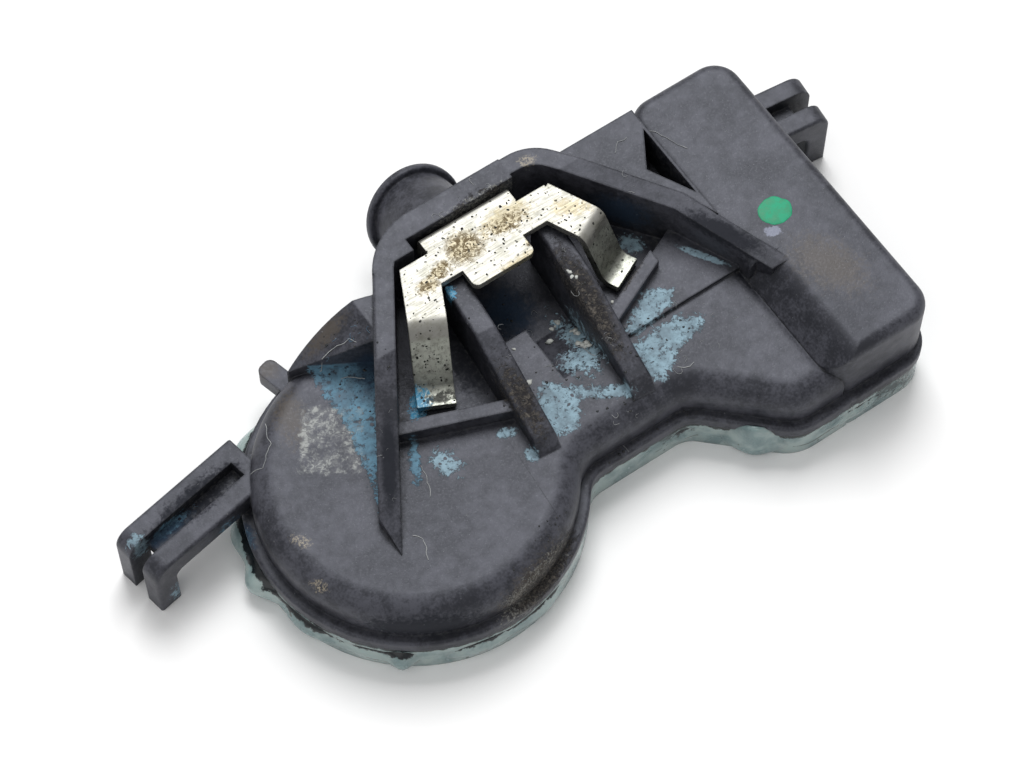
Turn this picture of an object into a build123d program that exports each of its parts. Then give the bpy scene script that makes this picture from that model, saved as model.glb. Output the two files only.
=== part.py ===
from build123d import *
import os
from math import atan2, cos, radians, sin, tan

# Battery and its welded tabs
cell_diameter = 20.0
cell_thickness = 3.2
cell_cap_diameter = 17.6
cell_cap_step = 0.5
cell_side_gap = 1.0
tab_thickness = 0.25
tab_width = 3.0
tab_gap = 0.1
tab_foot = 3.0
tab_reach = 6.0
tab_space = 1.7
positive_tab_y = -2.9
negative_tab_y = 1.4

# Circuit board and what is soldered to it
board_thickness = 0.8
board_gap = 0.5
board_rear = 2.9
chip_inset = 4.9
chip_side = 5.0
chip_height = 0.95
chip_port = 0.5
seal_radius = 1.5
seal_height = 0.35
seal_gap = 0.05
coil_inset = 5.3
coil_length = 7.2
coil_section = 2.4
coil_flange = 0.9
coil_core = 1.2
coil_winding = 2.2
coil_gap = 0.05
antenna_wire = 0.4
antenna_height = 3.6
antenna_front_gap = 2.3
antenna_rear_gap = 3.5
antenna_inset = 0.8
antenna_bend = 0.8
crystal_length = 3.2
crystal_width = 2.5
crystal_height = 0.9
passive_y = -2.6
passive_rear_y = 1.3
capacitor_count = 4
resistor_count = 4
inductor_count = 2
chip_part_length = 1.6
chip_part_width = 0.8
capacitor_height = 0.8
resistor_height = 0.5
inductor_side = 1.3
inductor_height = 1.1
part_pitch = 2.4
part_space = 1.1

# Room between the poured gel and what it holds
gel_gap = 0.05
gel_inset = 0.1
roof_gap = 0.15

# Moulded walls
wall = 1.2
floor_wall = 1.0
flange_width = 0.8
flange_thickness = 1.0
rim_height = 3.0
skirt_bottom = 0.8
edge_round = 0.25

# Plan of the moulding: lengths from the round bay's edge, depths from its axis
waist_front = -6.1
flare_inset = 2.9
flare_length = 6.2
block_offset = 17.1
block_width = 8.9
block_front = -12.0
block_rear = 15.2
block_rise = 2.4
block_corner = 2.2
block_overhang = 0.6
block_slope_run = 2.0
block_brow = 1.8
waist_round = 3.0
deck_round = 1.9
block_round = 0.9

# Arch round the clip pocket, and the fins that its ends run into
valve_offset = 1.2
arch_rear = 15.75
arch_wall = 1.6
arch_rise = 4.7
arch_left_reach = 6.6
arch_right_reach = 7.5
arch_left_round = 6.0
arch_right_round = 4.0
fin_splay = 32.3
fin_tip = -5.9
fin_end_reach = 18.2
fin_slope_start = 6.6
ridge_slope_start = 12.4
ridge_bend_inset = 0.9
ridge_bend_y = 6.05
ridge_end_inset = 2.9
ridge_end_y = -2.6
web_rise = 3.4
web_rear = 14.3
rear_wall = 1.9
rear_stop = 3.0
rear_stop_reach = 4.8

# Ribs, ledges and the tail channel under the clip
rib_offset = 4.25
rib_thickness = 1.8
rib_lean = 5.0
rib_tip = -4.9
rib_nose = 1.0
rib_nose_rise = 1.25
rib_flat_front = 4.8
rib_rear = 10.6
rib_gap = 0.4
left_ledge_front = -0.3
left_ledge_splay = 21.0
right_ledge_front = 1.4
right_ledge_splay = 24.3
right_ledge_end = 10.9
ledge_thickness = 1.05
ledge_rise = 1.3
channel_left_reach = 3.3
channel_right_reach = 4.6
channel_front = 4.6
ramp_front = -0.4
ramp_left = -0.3
step_front = -0.2
step_rise = 0.35

# Corner pocket between the ridge and the block
pocket_rear = 12.4
pocket_middle = 9.3
pocket_nose = 5.6
pocket_width = 1.9

# Rim that climbs from the bay to the arch
gusset_end = 107.0
gusset_turn = 30.0
gusset_slope = 35.0
gusset_drop = 0.4

# Valve collar, tilted down as it leaves the arch
valve_tilt = 28.0
collar_shift = 0.6
collar_reach = 3.6
collar_z = 4.1
collar_radius = 4.1
collar_thickness = 0.75
neck_radius = 3.55
neck_length = 6.0
bore_radius = 2.0

# Forked arms
arm_width = 4.6
arm_slot = 1.4
arm_top = 6.0
arm_depth = 2.0
arm_groove = 1.2
arm_round = 1.3
arm_groove_start = 1.2
foot_thickness = 1.9
left_arm_bearing = 140.3
left_arm_angle = 190.6
left_arm_length = 11.4
right_arm_y = 10.35
right_arm_angle = -6.0
right_arm_length = 6.7
right_arm_sink = 0.8

# Peg on the rear of the bay
peg_angle = 105.5
peg_length = 3.0
peg_width = 1.6
peg_height = 1.5
peg_round = 0.6

# Spring steel clip
clip_sink = 0.35
clip_thickness = 0.6
clip_bar_half = 6.5
clip_bar_width = 2.7
clip_rear_gap = 0.3
clip_rear_tab_half = 4.0
clip_rear_reach = 1.45
clip_rear_drop = 2.0
clip_front_tab_half = 2.7
clip_front_reach = 1.7
clip_arm_width = 2.9
clip_arm_splay = 26.0
clip_arm_back = 0.75
clip_left_bend = 7.3
clip_right_bend = 7.57
clip_bend_run = 2.2
clip_left_run = 3.2
clip_right_run = 1.85
clip_foot_sink = 0.35
clip_foot_run = 1.2
clip_tab_round = 0.5
clip_knee_round = 1.0
clip_foot_round = 0.9
clip_corner_round = 0.3
clip_seat_gap = 0.3

# Heights of the works, upwards from the table, and of the moulding over them
chip_bottom = seal_gap + seal_height
board_bottom = chip_bottom + chip_height
board_top = board_bottom + board_thickness
cell_bottom = board_bottom
cell_top = cell_bottom + cell_thickness
bay_roof = cell_top + tab_thickness + roof_gap
pocket_floor = bay_roof + floor_wall
clip_foot_top = pocket_floor + clip_seat_gap + clip_thickness
deck_height = clip_foot_top + clip_foot_sink
block_height = deck_height + block_rise
block_roof = block_height - wall
arch_height = deck_height + arch_rise
web_height = deck_height + web_rise
gusset_height = arch_height - gusset_drop
low_roof = board_top + inductor_height + roof_gap
channel_floor = low_roof + floor_wall
clip_top = arch_height - clip_sink
clip_bottom = clip_top - clip_thickness
rib_height = clip_bottom - rib_gap

# Plan values that follow from those above
bay_radius = cell_diameter / 2 + cell_side_gap + wall
cavity_radius = bay_radius - wall
valve_x = bay_radius + valve_offset
block_left = bay_radius + block_offset
block_right = block_left + block_width
flare_end = block_left - flare_inset
flare_start = flare_end - flare_length
mid_cavity_front = waist_front + wall
mid_cavity_step = left_ledge_front
arch_left_corner = valve_x - arch_left_reach
arch_right_corner = valve_x + arch_right_reach
ridge_bend = (block_left - ridge_bend_inset, ridge_bend_y)
ridge_end = (block_left + ridge_end_inset, ridge_end_y)
left_arm_root = (bay_radius * cos(radians(left_arm_bearing)), bay_radius * sin(radians(left_arm_bearing)))
right_arm_root = (block_right - right_arm_sink, right_arm_y)
rear_face = arch_rear - rear_wall
clip_rear_tab = rear_face - clip_rear_gap
clip_bar_rear = clip_rear_tab - clip_rear_reach
clip_bar_front = clip_bar_rear - clip_bar_width
clip_front_tab = clip_bar_front - clip_front_reach
clip_bend_y = clip_bar_front - clip_bend_run
board_left = cell_diameter / 2 + board_gap
board_right = block_right - wall - board_gap
board_neck = block_left + wall + board_gap
board_front = mid_cavity_front + board_gap
board_end_front = block_front + wall + board_gap
board_end_rear = block_rear - wall - board_gap
board_middle_x = (board_neck + board_right) / 2
chip_y = board_end_rear - chip_inset
coil_y = board_end_front + coil_inset
antenna_front = board_end_front + antenna_front_gap
antenna_rear = board_end_rear - antenna_rear_gap
tab_wall = cell_diameter / 2 + tab_gap
passive_x = tab_wall + tab_foot + tab_space + chip_part_width / 2
capacitors_end = passive_x + (capacitor_count - 1) * part_pitch + chip_part_width / 2
resistors_end = passive_x + (resistor_count - 1) * part_pitch + chip_part_width / 2
crystal_x = capacitors_end + part_space + crystal_length / 2
inductor_x = resistors_end + part_space + inductor_side / 2
far = 2 * block_right
valve_plane = Plane(
    origin=(valve_x - collar_shift, arch_rear + collar_reach, collar_z),
    x_dir=(1, 0, 0),
    z_dir=(0, cos(radians(valve_tilt)), -sin(radians(valve_tilt))),
)


def ledge_line(side, reach):
    """A point on the rear face of a ledge, so far from the valve's plane."""
    front, splay = (left_ledge_front, left_ledge_splay) if side < 0 else (right_ledge_front, right_ledge_splay)
    return (valve_x + side * reach, front + (reach - rib_offset) * tan(radians(splay)))


def side_plane(root, angle):
    """A standing plane whose x runs outwards from a root at an angle in plan."""
    out = Vector(1, 0, 0).rotate(Axis.Z, angle)
    return Plane(origin=(root[0], root[1], 0), x_dir=out, z_dir=out.cross(Vector(0, 0, 1)))


# Outline of the arch, filled
ridge_run = (ridge_end[0] - ridge_bend[0]) / (ridge_end[1] - ridge_bend[1])
web_nose = ridge_bend[1] + (block_left + edge_round - ridge_bend[0]) / ridge_run - wall / 4
arch_front = fin_tip - 3 * arch_wall
fin_foot = arch_left_corner + (arch_front - arch_rear) * tan(radians(fin_splay))
ridge_foot = ridge_end[0] + ridge_run * (arch_front - ridge_end[1])
with BuildSketch() as arch_plan:
    with BuildLine():
        Polyline(
            (fin_foot, arch_front),
            (arch_left_corner, arch_rear),
            (arch_right_corner, arch_rear),
            ridge_bend,
            (ridge_foot, arch_front),
            close=True,
        )
    make_face()
    rear_corners = arch_plan.vertices().group_by(Axis.Y)[-1].sort_by(Axis.X)
    fillet(rear_corners[0], arch_left_round)
    fillet(arch_plan.vertices().sort_by_distance((arch_right_corner, arch_rear))[0], arch_right_round)

# Inside of the arch wall
with BuildSketch() as arch_inside:
    add(arch_plan.sketch)
    offset(amount=-arch_wall, mode=Mode.REPLACE)

# Ground under the arch, behind the bay's middle
with BuildSketch() as arch_ground:
    add(arch_plan.sketch)
    with Locations((valve_x, arch_front / 2)):
        Rectangle(2 * far, -arch_front, mode=Mode.SUBTRACT)

# Outline of the deck: bay, waist, and the ground under the arch and its web
with BuildSketch() as deck_plan:
    with BuildLine():
        Polyline(
            (0, waist_front),
            (flare_start, waist_front),
            (flare_end, block_front),
            (block_left + wall, block_front),
            (block_left + wall, block_rear),
            (valve_x, block_rear),
            (0, 0),
            close=True,
        )
    make_face()
    Circle(bay_radius)
    add(arch_ground.sketch)
    waist_corner = (bay_radius**2 - waist_front**2) ** 0.5
    for corner in ((waist_corner, waist_front), (flare_start, waist_front), (flare_end, block_front)):
        fillet(deck_plan.vertices().sort_by_distance(corner)[0], waist_round)

# Outline of the block
with BuildSketch() as block_plan:
    with Locations(((block_left + block_right) / 2, (block_front + block_rear) / 2)):
        RectangleRounded(block_right - block_left, block_rear - block_front, block_corner)

# Upper part of the block, which stands out to the right
with BuildSketch() as block_top:
    with Locations(((block_left + block_right + block_overhang) / 2, (block_front + block_rear) / 2)):
        RectangleRounded(block_right + block_overhang - block_left, block_rear - block_front, block_corner)

# Outline of the whole moulding's side wall
with BuildSketch() as wall_plan:
    add(deck_plan.sketch)
    add(block_plan.sketch)

# Pocket round the clip's legs, between the arch and the ledges
with BuildSketch() as pocket_plan:
    add(arch_inside.sketch)
    with BuildLine():
        Polyline(
            ledge_line(-1, far),
            ledge_line(-1, rib_offset),
            (valve_x - rib_offset, channel_front),
            (valve_x + rib_offset, channel_front),
            ledge_line(1, rib_offset),
            ledge_line(1, far),
            (valve_x + far, -far),
            (valve_x - far, -far),
            close=True,
        )
    make_face(mode=Mode.SUBTRACT)

# Raised step of the deck between the right rib, the ledge and the ridge
with BuildSketch() as step_plan:
    add(arch_inside.sketch)
    add(pocket_plan.sketch, mode=Mode.SUBTRACT)
    with Locations((valve_x + rib_offset - far / 2, 0)):
        Rectangle(far, 2 * far, mode=Mode.SUBTRACT)
    with Locations((valve_x, step_front - far / 2)):
        Rectangle(2 * far, far, mode=Mode.SUBTRACT)

# Hollows under the block, the waist, the whole plan and the bay
with BuildSketch() as block_hollow:
    add(block_plan.sketch)
    offset(amount=-wall, mode=Mode.REPLACE)
    with Locations((block_left, 0)):
        Rectangle(2 * (wall + block_slope_run / 2), 2 * far, mode=Mode.SUBTRACT)
with BuildSketch() as waist_hollow:
    with Locations(((block_left + 2 * wall) / 2, (mid_cavity_front + mid_cavity_step) / 2)):
        Rectangle(block_left + 2 * wall, mid_cavity_step - mid_cavity_front)
with BuildSketch() as low_hollow:
    add(wall_plan.sketch)
    offset(amount=-wall, mode=Mode.REPLACE)
with BuildSketch() as bay_hollow:
    Circle(cavity_radius)


def room_for_works(gap, floor):
    """The room under the moulding, from a floor up, with the same gap left at every wall."""
    rooms = (
        (low_hollow, low_roof),
        (bay_hollow, bay_roof),
        (waist_hollow, bay_roof),
        (block_hollow, block_roof),
    )
    with BuildPart() as room:
        for plan, roof in rooms:
            with BuildSketch(Plane.XY.offset(floor)):
                add(plan.sketch)
                offset(amount=-gap, mode=Mode.REPLACE)
            extrude(amount=roof - gap - floor)
    return room.part


# Arch wall with its sloping fins
with BuildPart() as arch:
    with BuildSketch(Plane.XY.offset(rim_height)):
        add(arch_plan.sketch)
        add(arch_inside.sketch, mode=Mode.SUBTRACT)
        with Locations((valve_x - far / 2, fin_tip - far / 2)):
            Rectangle(far, far, mode=Mode.SUBTRACT)
        with Locations((valve_x + far / 2, ridge_end[1] - far / 2)):
            Rectangle(far, far, mode=Mode.SUBTRACT)
        with Locations((valve_x - fin_end_reach - far / 2, 0)):
            Rectangle(far, 2 * far, mode=Mode.SUBTRACT)
    extrude(amount=arch_height - rim_height)
    slopes = (
        (-1, fin_slope_start, fin_tip, deck_height),
        (1, ridge_slope_start, ridge_end[1], block_height),
    )
    for side, slope_start, slope_end, end_height in slopes:
        with BuildSketch(Plane.YZ.offset(valve_x)):
            with BuildLine():
                Polyline(
                    (slope_start, arch_height),
                    (slope_end, end_height),
                    (slope_end - wall, end_height),
                    (slope_end - wall, arch_height + wall),
                    (slope_start, arch_height + wall),
                    close=True,
                )
            make_face()
        extrude(amount=side * far, mode=Mode.SUBTRACT)
    outline = arch_plan.sketch.face().outer_wire()
    upper_faces = arch.faces().filter_by(lambda face: face.normal_at().Z > 0.1)
    outer_edges = upper_faces.edges().filter_by(
        lambda edge: outline.distance_to(Vector((edge @ 0.5).X, (edge @ 0.5).Y)) < edge_round / 10
    )
    fillet(outer_edges, edge_round)

# Rim that climbs along the rear of the bay to the arch, cut off straight towards the bay
gusset_root = Vector(bay_radius, 0, 0).rotate(Axis.Z, gusset_end)
with BuildPart() as gusset:
    with BuildSketch(Plane.XY.offset(rim_height)):
        Circle(bay_radius)
        add(arch_inside.sketch, mode=Mode.SUBTRACT)
        with Locations(Location(gusset_root, -gusset_turn)):
            Rectangle(2 * far, far, align=(Align.CENTER, Align.MAX), mode=Mode.SUBTRACT)
    extrude(amount=gusset_height - rim_height)
    split(
        bisect_by=Plane(
            origin=gusset_root + Vector(0, 0, deck_height),
            z_dir=Vector(0, 0, 1).rotate(Axis.Y, -gusset_slope),
        ),
        keep=Keep.BOTTOM,
    )


def forked_arm(root, angle, length):
    """An arm that bends down to the table, split along its middle by a slot."""
    heel = length - foot_thickness
    with BuildPart() as arm:
        with BuildSketch(side_plane(root, angle)) as profile:
            with BuildLine():
                Polyline(
                    (0, arm_top),
                    (length, arm_top),
                    (length, 0),
                    (heel, 0),
                    (heel, arm_top - arm_depth),
                    (0, arm_top - arm_depth),
                    close=True,
                )
            make_face()
            fillet(profile.vertices().sort_by_distance((length, arm_top))[0], arm_round)
            fillet(profile.vertices().sort_by_distance((heel, arm_top - arm_depth))[0], arm_round / 2)
        extrude(amount=arm_width / 2, both=True)
        across = side_plane(root, angle).z_dir
        side_faces = arm.faces().filter_by(lambda face: abs(face.normal_at().dot(across)) > 0.9)
        fillet(side_faces.edges(), edge_round)
        with BuildSketch(side_plane(root, angle)):
            with BuildLine():
                Polyline(
                    (arm_groove_start, arm_top + wall),
                    (arm_groove_start, arm_top - arm_groove),
                    (heel, arm_top - arm_groove),
                    (heel, -wall),
                    (length + wall, -wall),
                    (length + wall, arm_top + wall),
                    close=True,
                )
            make_face()
        extrude(amount=arm_slot / 2, both=True, mode=Mode.SUBTRACT)
    return arm.part


def leaning_rib(side):
    """A rib beside the tail channel, its top sloping down to the deck in front."""
    with BuildPart() as rib:
        with BuildSketch(side_plane((valve_x + side * rib_offset, 0), 90 - rib_lean)):
            with BuildLine():
                Polyline(
                    (rib_tip, deck_height),
                    (rib_tip + rib_nose, deck_height + rib_nose_rise),
                    (rib_flat_front, rib_height),
                    (rib_rear, rib_height),
                    (rib_rear, low_roof + floor_wall / 2),
                    (rib_tip, low_roof + floor_wall / 2),
                    close=True,
                )
            make_face()
        extrude(amount=rib_thickness / 2, both=True)
        upper_faces = rib.faces().filter_by(lambda face: face.normal_at().Z > 0.1)
        lengthwise = upper_faces.edges().filter_by(lambda edge: edge.length > 2 * rib_thickness)
        fillet(lengthwise, edge_round)
    return rib.part


left_arm = forked_arm(left_arm_root, left_arm_angle, left_arm_length)
right_arm = forked_arm(right_arm_root, right_arm_angle, right_arm_length)
left_rib = leaning_rib(-1)
right_rib = leaning_rib(1)
moulded_room = room_for_works(0, skirt_bottom)

# Flange round the foot of the side wall
with BuildPart() as flange:
    with BuildSketch(Plane.XY.offset(rim_height)):
        add(wall_plan.sketch)
        offset(amount=flange_width, mode=Mode.REPLACE)
    extrude(amount=flange_thickness)
    fillet(flange.faces().sort_by(Axis.Z)[-1].edges(), edge_round)

# Valve collar on its neck
with BuildPart() as collar:
    with BuildSketch(valve_plane.offset(-collar_thickness / 2)):
        Circle(collar_radius)
    extrude(amount=collar_thickness)
    fillet(collar.edges(), edge_round)
    with BuildSketch(valve_plane):
        Circle(neck_radius)
    extrude(amount=-neck_length)

# Block with its sloping side towards the waist
with BuildPart() as block:
    with BuildSketch(Plane.XY.offset(rim_height)):
        add(block_plan.sketch)
    extrude(amount=flange_thickness)
    with BuildSketch(Plane.XY.offset(rim_height + flange_thickness)):
        add(block_top.sketch)
    extrude(amount=block_height - rim_height - flange_thickness)
    fillet(block.faces().sort_by(Axis.Z)[-1].edges(), block_round)
    with BuildSketch(Plane.XZ.offset(-block_front + wall)) as side_cut:
        with BuildLine():
            Polyline(
                (block_left - wall, deck_height),
                (block_left, deck_height),
                (block_left + block_slope_run, block_height),
                (block_left + 2 * block_slope_run, block_height),
                (block_left + 2 * block_slope_run, block_height + wall),
                (block_left - wall, block_height + wall),
                close=True,
            )
        make_face()
        fillet(side_cut.vertices().sort_by_distance((block_left + block_slope_run, block_height))[0], block_brow)
    extrude(amount=block_front - wall - ridge_end_y - wall, mode=Mode.SUBTRACT)

with BuildPart() as housing:
    with BuildSketch(Plane.XY.offset(rim_height)):
        add(deck_plan.sketch)
    extrude(amount=deck_height - rim_height)
    deck_edges = housing.faces().sort_by(Axis.Z)[-1].edges()
    bay_edges = deck_edges.filter_by(GeomType.CIRCLE).sort_by(SortBy.RADIUS)[-1:]
    front_edges = deck_edges.filter_by(lambda edge: (edge @ 0.5).Y < waist_front + wall)
    fillet(bay_edges + front_edges, deck_round)
    add(block.part)
    # Flange and the skirt under it
    add(flange.part)
    with BuildSketch(Plane.XY.offset(skirt_bottom)):
        add(wall_plan.sketch)
    extrude(amount=rim_height - skirt_bottom)
    # Web behind the ridge, the arch and the climbing rim
    with BuildSketch(Plane.XY.offset(rim_height)):
        with BuildLine():
            Polyline(
                (arch_right_corner, web_rear),
                (block_left + edge_round, web_rear),
                (block_left + edge_round, web_nose),
                ridge_bend,
                close=True,
            )
        make_face()
    extrude(amount=web_height - rim_height)
    add(arch.part)
    add(gusset.part)
    add(collar.part)
    # Arms and peg
    add(left_arm)
    add(right_arm)
    with BuildSketch(Plane.XY.offset(rim_height)):
        with Locations(Location((0, 0, 0), peg_angle)):
            with Locations((bay_radius, 0)):
                RectangleRounded(2 * peg_length, peg_width, peg_round)
    extrude(amount=peg_height)
    # Pockets
    with BuildSketch(Plane.XY.offset(pocket_floor)):
        add(pocket_plan.sketch)
    extrude(amount=arch_height + wall - pocket_floor, mode=Mode.SUBTRACT)
    with BuildSketch(Plane.XY.offset(channel_floor)):
        with Locations((valve_x - channel_left_reach, channel_front)):
            Rectangle(
                channel_left_reach + channel_right_reach,
                arch_rear - arch_wall - channel_front,
                align=(Align.MIN, Align.MIN),
            )
    extrude(amount=arch_height - channel_floor, mode=Mode.SUBTRACT)
    with BuildSketch(Plane.YZ.offset(valve_x + ramp_left)):
        with BuildLine():
            Polyline(
                (ramp_front, deck_height),
                (channel_front, channel_floor),
                (channel_front, arch_height),
                (ramp_front, arch_height),
                close=True,
            )
        make_face()
    extrude(amount=channel_right_reach - ramp_left, mode=Mode.SUBTRACT)
    with BuildSketch(Plane.XY.offset(low_roof + floor_wall / 2)):
        with Locations((valve_x - far / 2 + rear_stop_reach, rear_face)):
            Rectangle(far, far, align=(Align.CENTER, Align.MIN))
        with Locations((valve_x - far / 2 - rear_stop_reach, arch_rear - rear_stop)):
            Rectangle(far, far, align=(Align.CENTER, Align.MIN))
        add(arch_plan.sketch, mode=Mode.INTERSECT)
    extrude(amount=arch_height - low_roof - floor_wall / 2)
    with BuildSketch(Plane.XY.offset(deck_height)):
        with BuildLine():
            Polyline(
                (block_left, pocket_rear),
                (block_left - pocket_width, pocket_middle),
                (block_left, pocket_nose),
                close=True,
            )
        make_face()
    extrude(amount=arch_height - deck_height, mode=Mode.SUBTRACT)
    # Ribs, ledges and the low step
    add(left_rib)
    add(right_rib)
    ledge_step = ledge_thickness / cos(radians(left_ledge_splay))
    with BuildSketch(Plane.XY.offset(low_roof + floor_wall / 2)):
        for side, reach in ((-1, far), (1, right_ledge_end)):
            with BuildLine():
                near = Vector(ledge_line(side, rib_offset))
                end = Vector(ledge_line(side, reach))
                Polyline(near, end, end - (0, ledge_step), near - (0, ledge_step), close=True)
            make_face()
        add(arch_plan.sketch, mode=Mode.INTERSECT)
    extrude(amount=deck_height + ledge_rise - low_roof - floor_wall / 2)
    with BuildSketch(Plane.XY.offset(deck_height)):
        add(step_plan.sketch)
    extrude(amount=step_rise)
    # Room for the works, open underneath, and the valve's bore
    add(moulded_room, mode=Mode.SUBTRACT)
    with BuildSketch(valve_plane.offset(collar_thickness)):
        Circle(bore_radius)
    extrude(amount=-neck_length - 2 * arch_wall, mode=Mode.SUBTRACT)
housing.part.label = "housing"

# Spring clip: a stamped bar with two tabs and two legs
clip_fall = clip_top - clip_foot_top
clip_bar_middle = (clip_bar_front + clip_bar_rear) / 2
arm_run = (clip_bar_middle - clip_bend_y) / cos(radians(clip_arm_splay))
with BuildPart() as retaining_clip:
    with BuildSketch(Plane.XY.offset(clip_bottom)) as stamping:
        with Locations((valve_x, clip_bar_middle)):
            Rectangle(2 * clip_bar_half, clip_bar_rear - clip_bar_front)
        with Locations((valve_x, (clip_front_tab + clip_bar_middle) / 2)):
            Rectangle(2 * clip_front_tab_half, clip_bar_middle - clip_front_tab)
        with Locations((valve_x, (clip_rear_tab + clip_bar_middle) / 2)):
            Rectangle(2 * clip_rear_tab_half, clip_rear_tab - clip_bar_middle)
        front_corners = stamping.vertices().group_by(Axis.Y)[0]
        inner_corners = stamping.vertices().filter_by(
            lambda spot: clip_tab_round < spot.Y - clip_front_tab < clip_front_reach + clip_bar_width / 2
        )
        fillet(front_corners, clip_tab_round)
        fillet(inner_corners, clip_corner_round)
    extrude(amount=clip_thickness)
    with BuildSketch(Plane.XY.offset(clip_top - clip_rear_drop)):
        with Locations((valve_x, clip_rear_tab - clip_thickness / 2)):
            Rectangle(2 * clip_rear_tab_half, clip_thickness)
    extrude(amount=clip_rear_drop)
    fillet(
        retaining_clip.edges().filter_by(Axis.X).sort_by_distance((valve_x, clip_rear_tab, clip_top))[0],
        clip_tab_round,
    )
    legs = ((-1, clip_left_bend, clip_left_run), (1, clip_right_bend, clip_right_run))
    for side, bend_reach, leg_run in legs:
        leg_shift = clip_thickness * tan(atan2(clip_fall, leg_run) / 2)
        arm_root = (valve_x + side * (bend_reach - arm_run * sin(radians(clip_arm_splay))), clip_bar_middle)
        with BuildSketch(side_plane(arm_root, -90 + side * clip_arm_splay)) as bent_arm:
            with BuildLine():
                Polyline(
                    (-clip_arm_back, clip_top),
                    (arm_run, clip_top),
                    (arm_run + leg_run, clip_foot_top),
                    (arm_run + leg_run + clip_foot_run, clip_foot_top),
                    (arm_run + leg_run + clip_foot_run, clip_foot_top - clip_thickness),
                    (arm_run + leg_run - leg_shift, clip_foot_top - clip_thickness),
                    (arm_run - leg_shift, clip_bottom),
                    (-clip_arm_back, clip_bottom),
                    close=True,
                )
            make_face()
            bends = (
                ((arm_run, clip_top), clip_knee_round),
                ((arm_run - leg_shift, clip_bottom), clip_knee_round - clip_thickness),
                ((arm_run + leg_run, clip_foot_top), clip_foot_round),
                ((arm_run + leg_run - leg_shift, clip_foot_top - clip_thickness), clip_foot_round + clip_thickness),
            )
            for spot, radius in bends:
                fillet(bent_arm.vertices().sort_by_distance(spot)[0], radius)
        extrude(amount=clip_arm_width / 2, both=True)
retaining_clip.part.label = "retaining_clip"

# Coin cell, its can upwards
with BuildPart() as coin_cell:
    with BuildSketch(Plane.XY.offset(cell_bottom)):
        Circle(cell_cap_diameter / 2)
    extrude(amount=cell_thickness)
    with BuildSketch(Plane.XY.offset(cell_bottom + cell_cap_step)):
        Circle(cell_diameter / 2)
    extrude(amount=cell_thickness - cell_cap_step)
    fillet(coin_cell.edges().group_by(Axis.Z)[-1], cell_cap_step)
coin_cell.part.label = "coin_cell"

# Welded tabs, from the can's top and the cap's underside to the board
with BuildPart() as cell_tab_positive:
    with BuildSketch(Plane.XZ.offset(-positive_tab_y)):
        with BuildLine():
            Polyline(
                (tab_wall - tab_reach, cell_top),
                (tab_wall - tab_reach, cell_top + tab_thickness),
                (tab_wall + tab_thickness, cell_top + tab_thickness),
                (tab_wall + tab_thickness, board_top + tab_thickness),
                (tab_wall + tab_foot, board_top + tab_thickness),
                (tab_wall + tab_foot, board_top),
                (tab_wall, board_top),
                (tab_wall, cell_top),
                close=True,
            )
        make_face()
    extrude(amount=tab_width / 2, both=True)
cell_tab_positive.part.label = "cell_tab_positive"

with BuildPart() as cell_tab_negative:
    with BuildSketch(Plane.XY.offset(board_bottom - tab_thickness)):
        with Locations((tab_wall + (tab_foot - tab_reach) / 2, negative_tab_y)):
            Rectangle(tab_foot + tab_reach, tab_width)
    extrude(amount=tab_thickness)
cell_tab_negative.part.label = "cell_tab_negative"

# Circuit board: a strip along the waist and a wide end in the block
with BuildPart() as circuit_board:
    with BuildSketch(Plane.XY.offset(board_bottom)):
        with Locations(((board_left + board_right) / 2, (board_front + board_rear) / 2)):
            Rectangle(board_right - board_left, board_rear - board_front)
        with Locations((board_middle_x, (board_end_front + board_end_rear) / 2)):
            Rectangle(board_right - board_neck, board_end_rear - board_end_front)
    extrude(amount=board_thickness)
circuit_board.part.label = "circuit_board"

# Pressure sensor under the board, and the seal that keeps its port open to the underside
with BuildPart() as sensor_chip:
    with BuildSketch(Plane.XY.offset(chip_bottom)):
        with Locations((board_middle_x, chip_y)):
            Rectangle(chip_side, chip_side)
    extrude(amount=chip_height)
    with BuildSketch(Plane.XY.offset(chip_bottom)):
        with Locations((board_middle_x, chip_y)):
            Circle(chip_port)
    extrude(amount=chip_height / 2, mode=Mode.SUBTRACT)
sensor_chip.part.label = "sensor_chip"

with BuildPart() as port_seal:
    with BuildSketch(Plane.XY.offset(seal_gap)):
        with Locations((board_middle_x, chip_y)):
            Circle(seal_radius)
            Circle(chip_port, mode=Mode.SUBTRACT)
    extrude(amount=seal_height)
port_seal.part.label = "port_seal"

# Pick-up coil: a ferrite bar with end flanges, and the winding between them
coil_middle = board_top + coil_section / 2
with BuildPart() as lf_coil_core:
    for end in (-1, 1):
        with BuildSketch(Plane.XY.offset(board_top)):
            with Locations((board_middle_x, coil_y + end * (coil_length - coil_flange) / 2)):
                Rectangle(coil_section, coil_flange)
        extrude(amount=coil_section)
    with BuildSketch(Plane.XZ.offset(-coil_y)):
        with Locations((board_middle_x, coil_middle)):
            Circle(coil_core / 2)
    extrude(amount=coil_length / 2 - coil_flange / 2, both=True)
lf_coil_core.part.label = "lf_coil_core"

with BuildPart() as lf_coil_winding:
    with BuildSketch(Plane.XZ.offset(-coil_y)):
        with Locations((board_middle_x, coil_middle)):
            Circle(coil_winding / 2)
            Circle(coil_core / 2 + coil_gap, mode=Mode.SUBTRACT)
    extrude(amount=coil_length / 2 - coil_flange - coil_gap, both=True)
lf_coil_winding.part.label = "lf_coil_winding"


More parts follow.
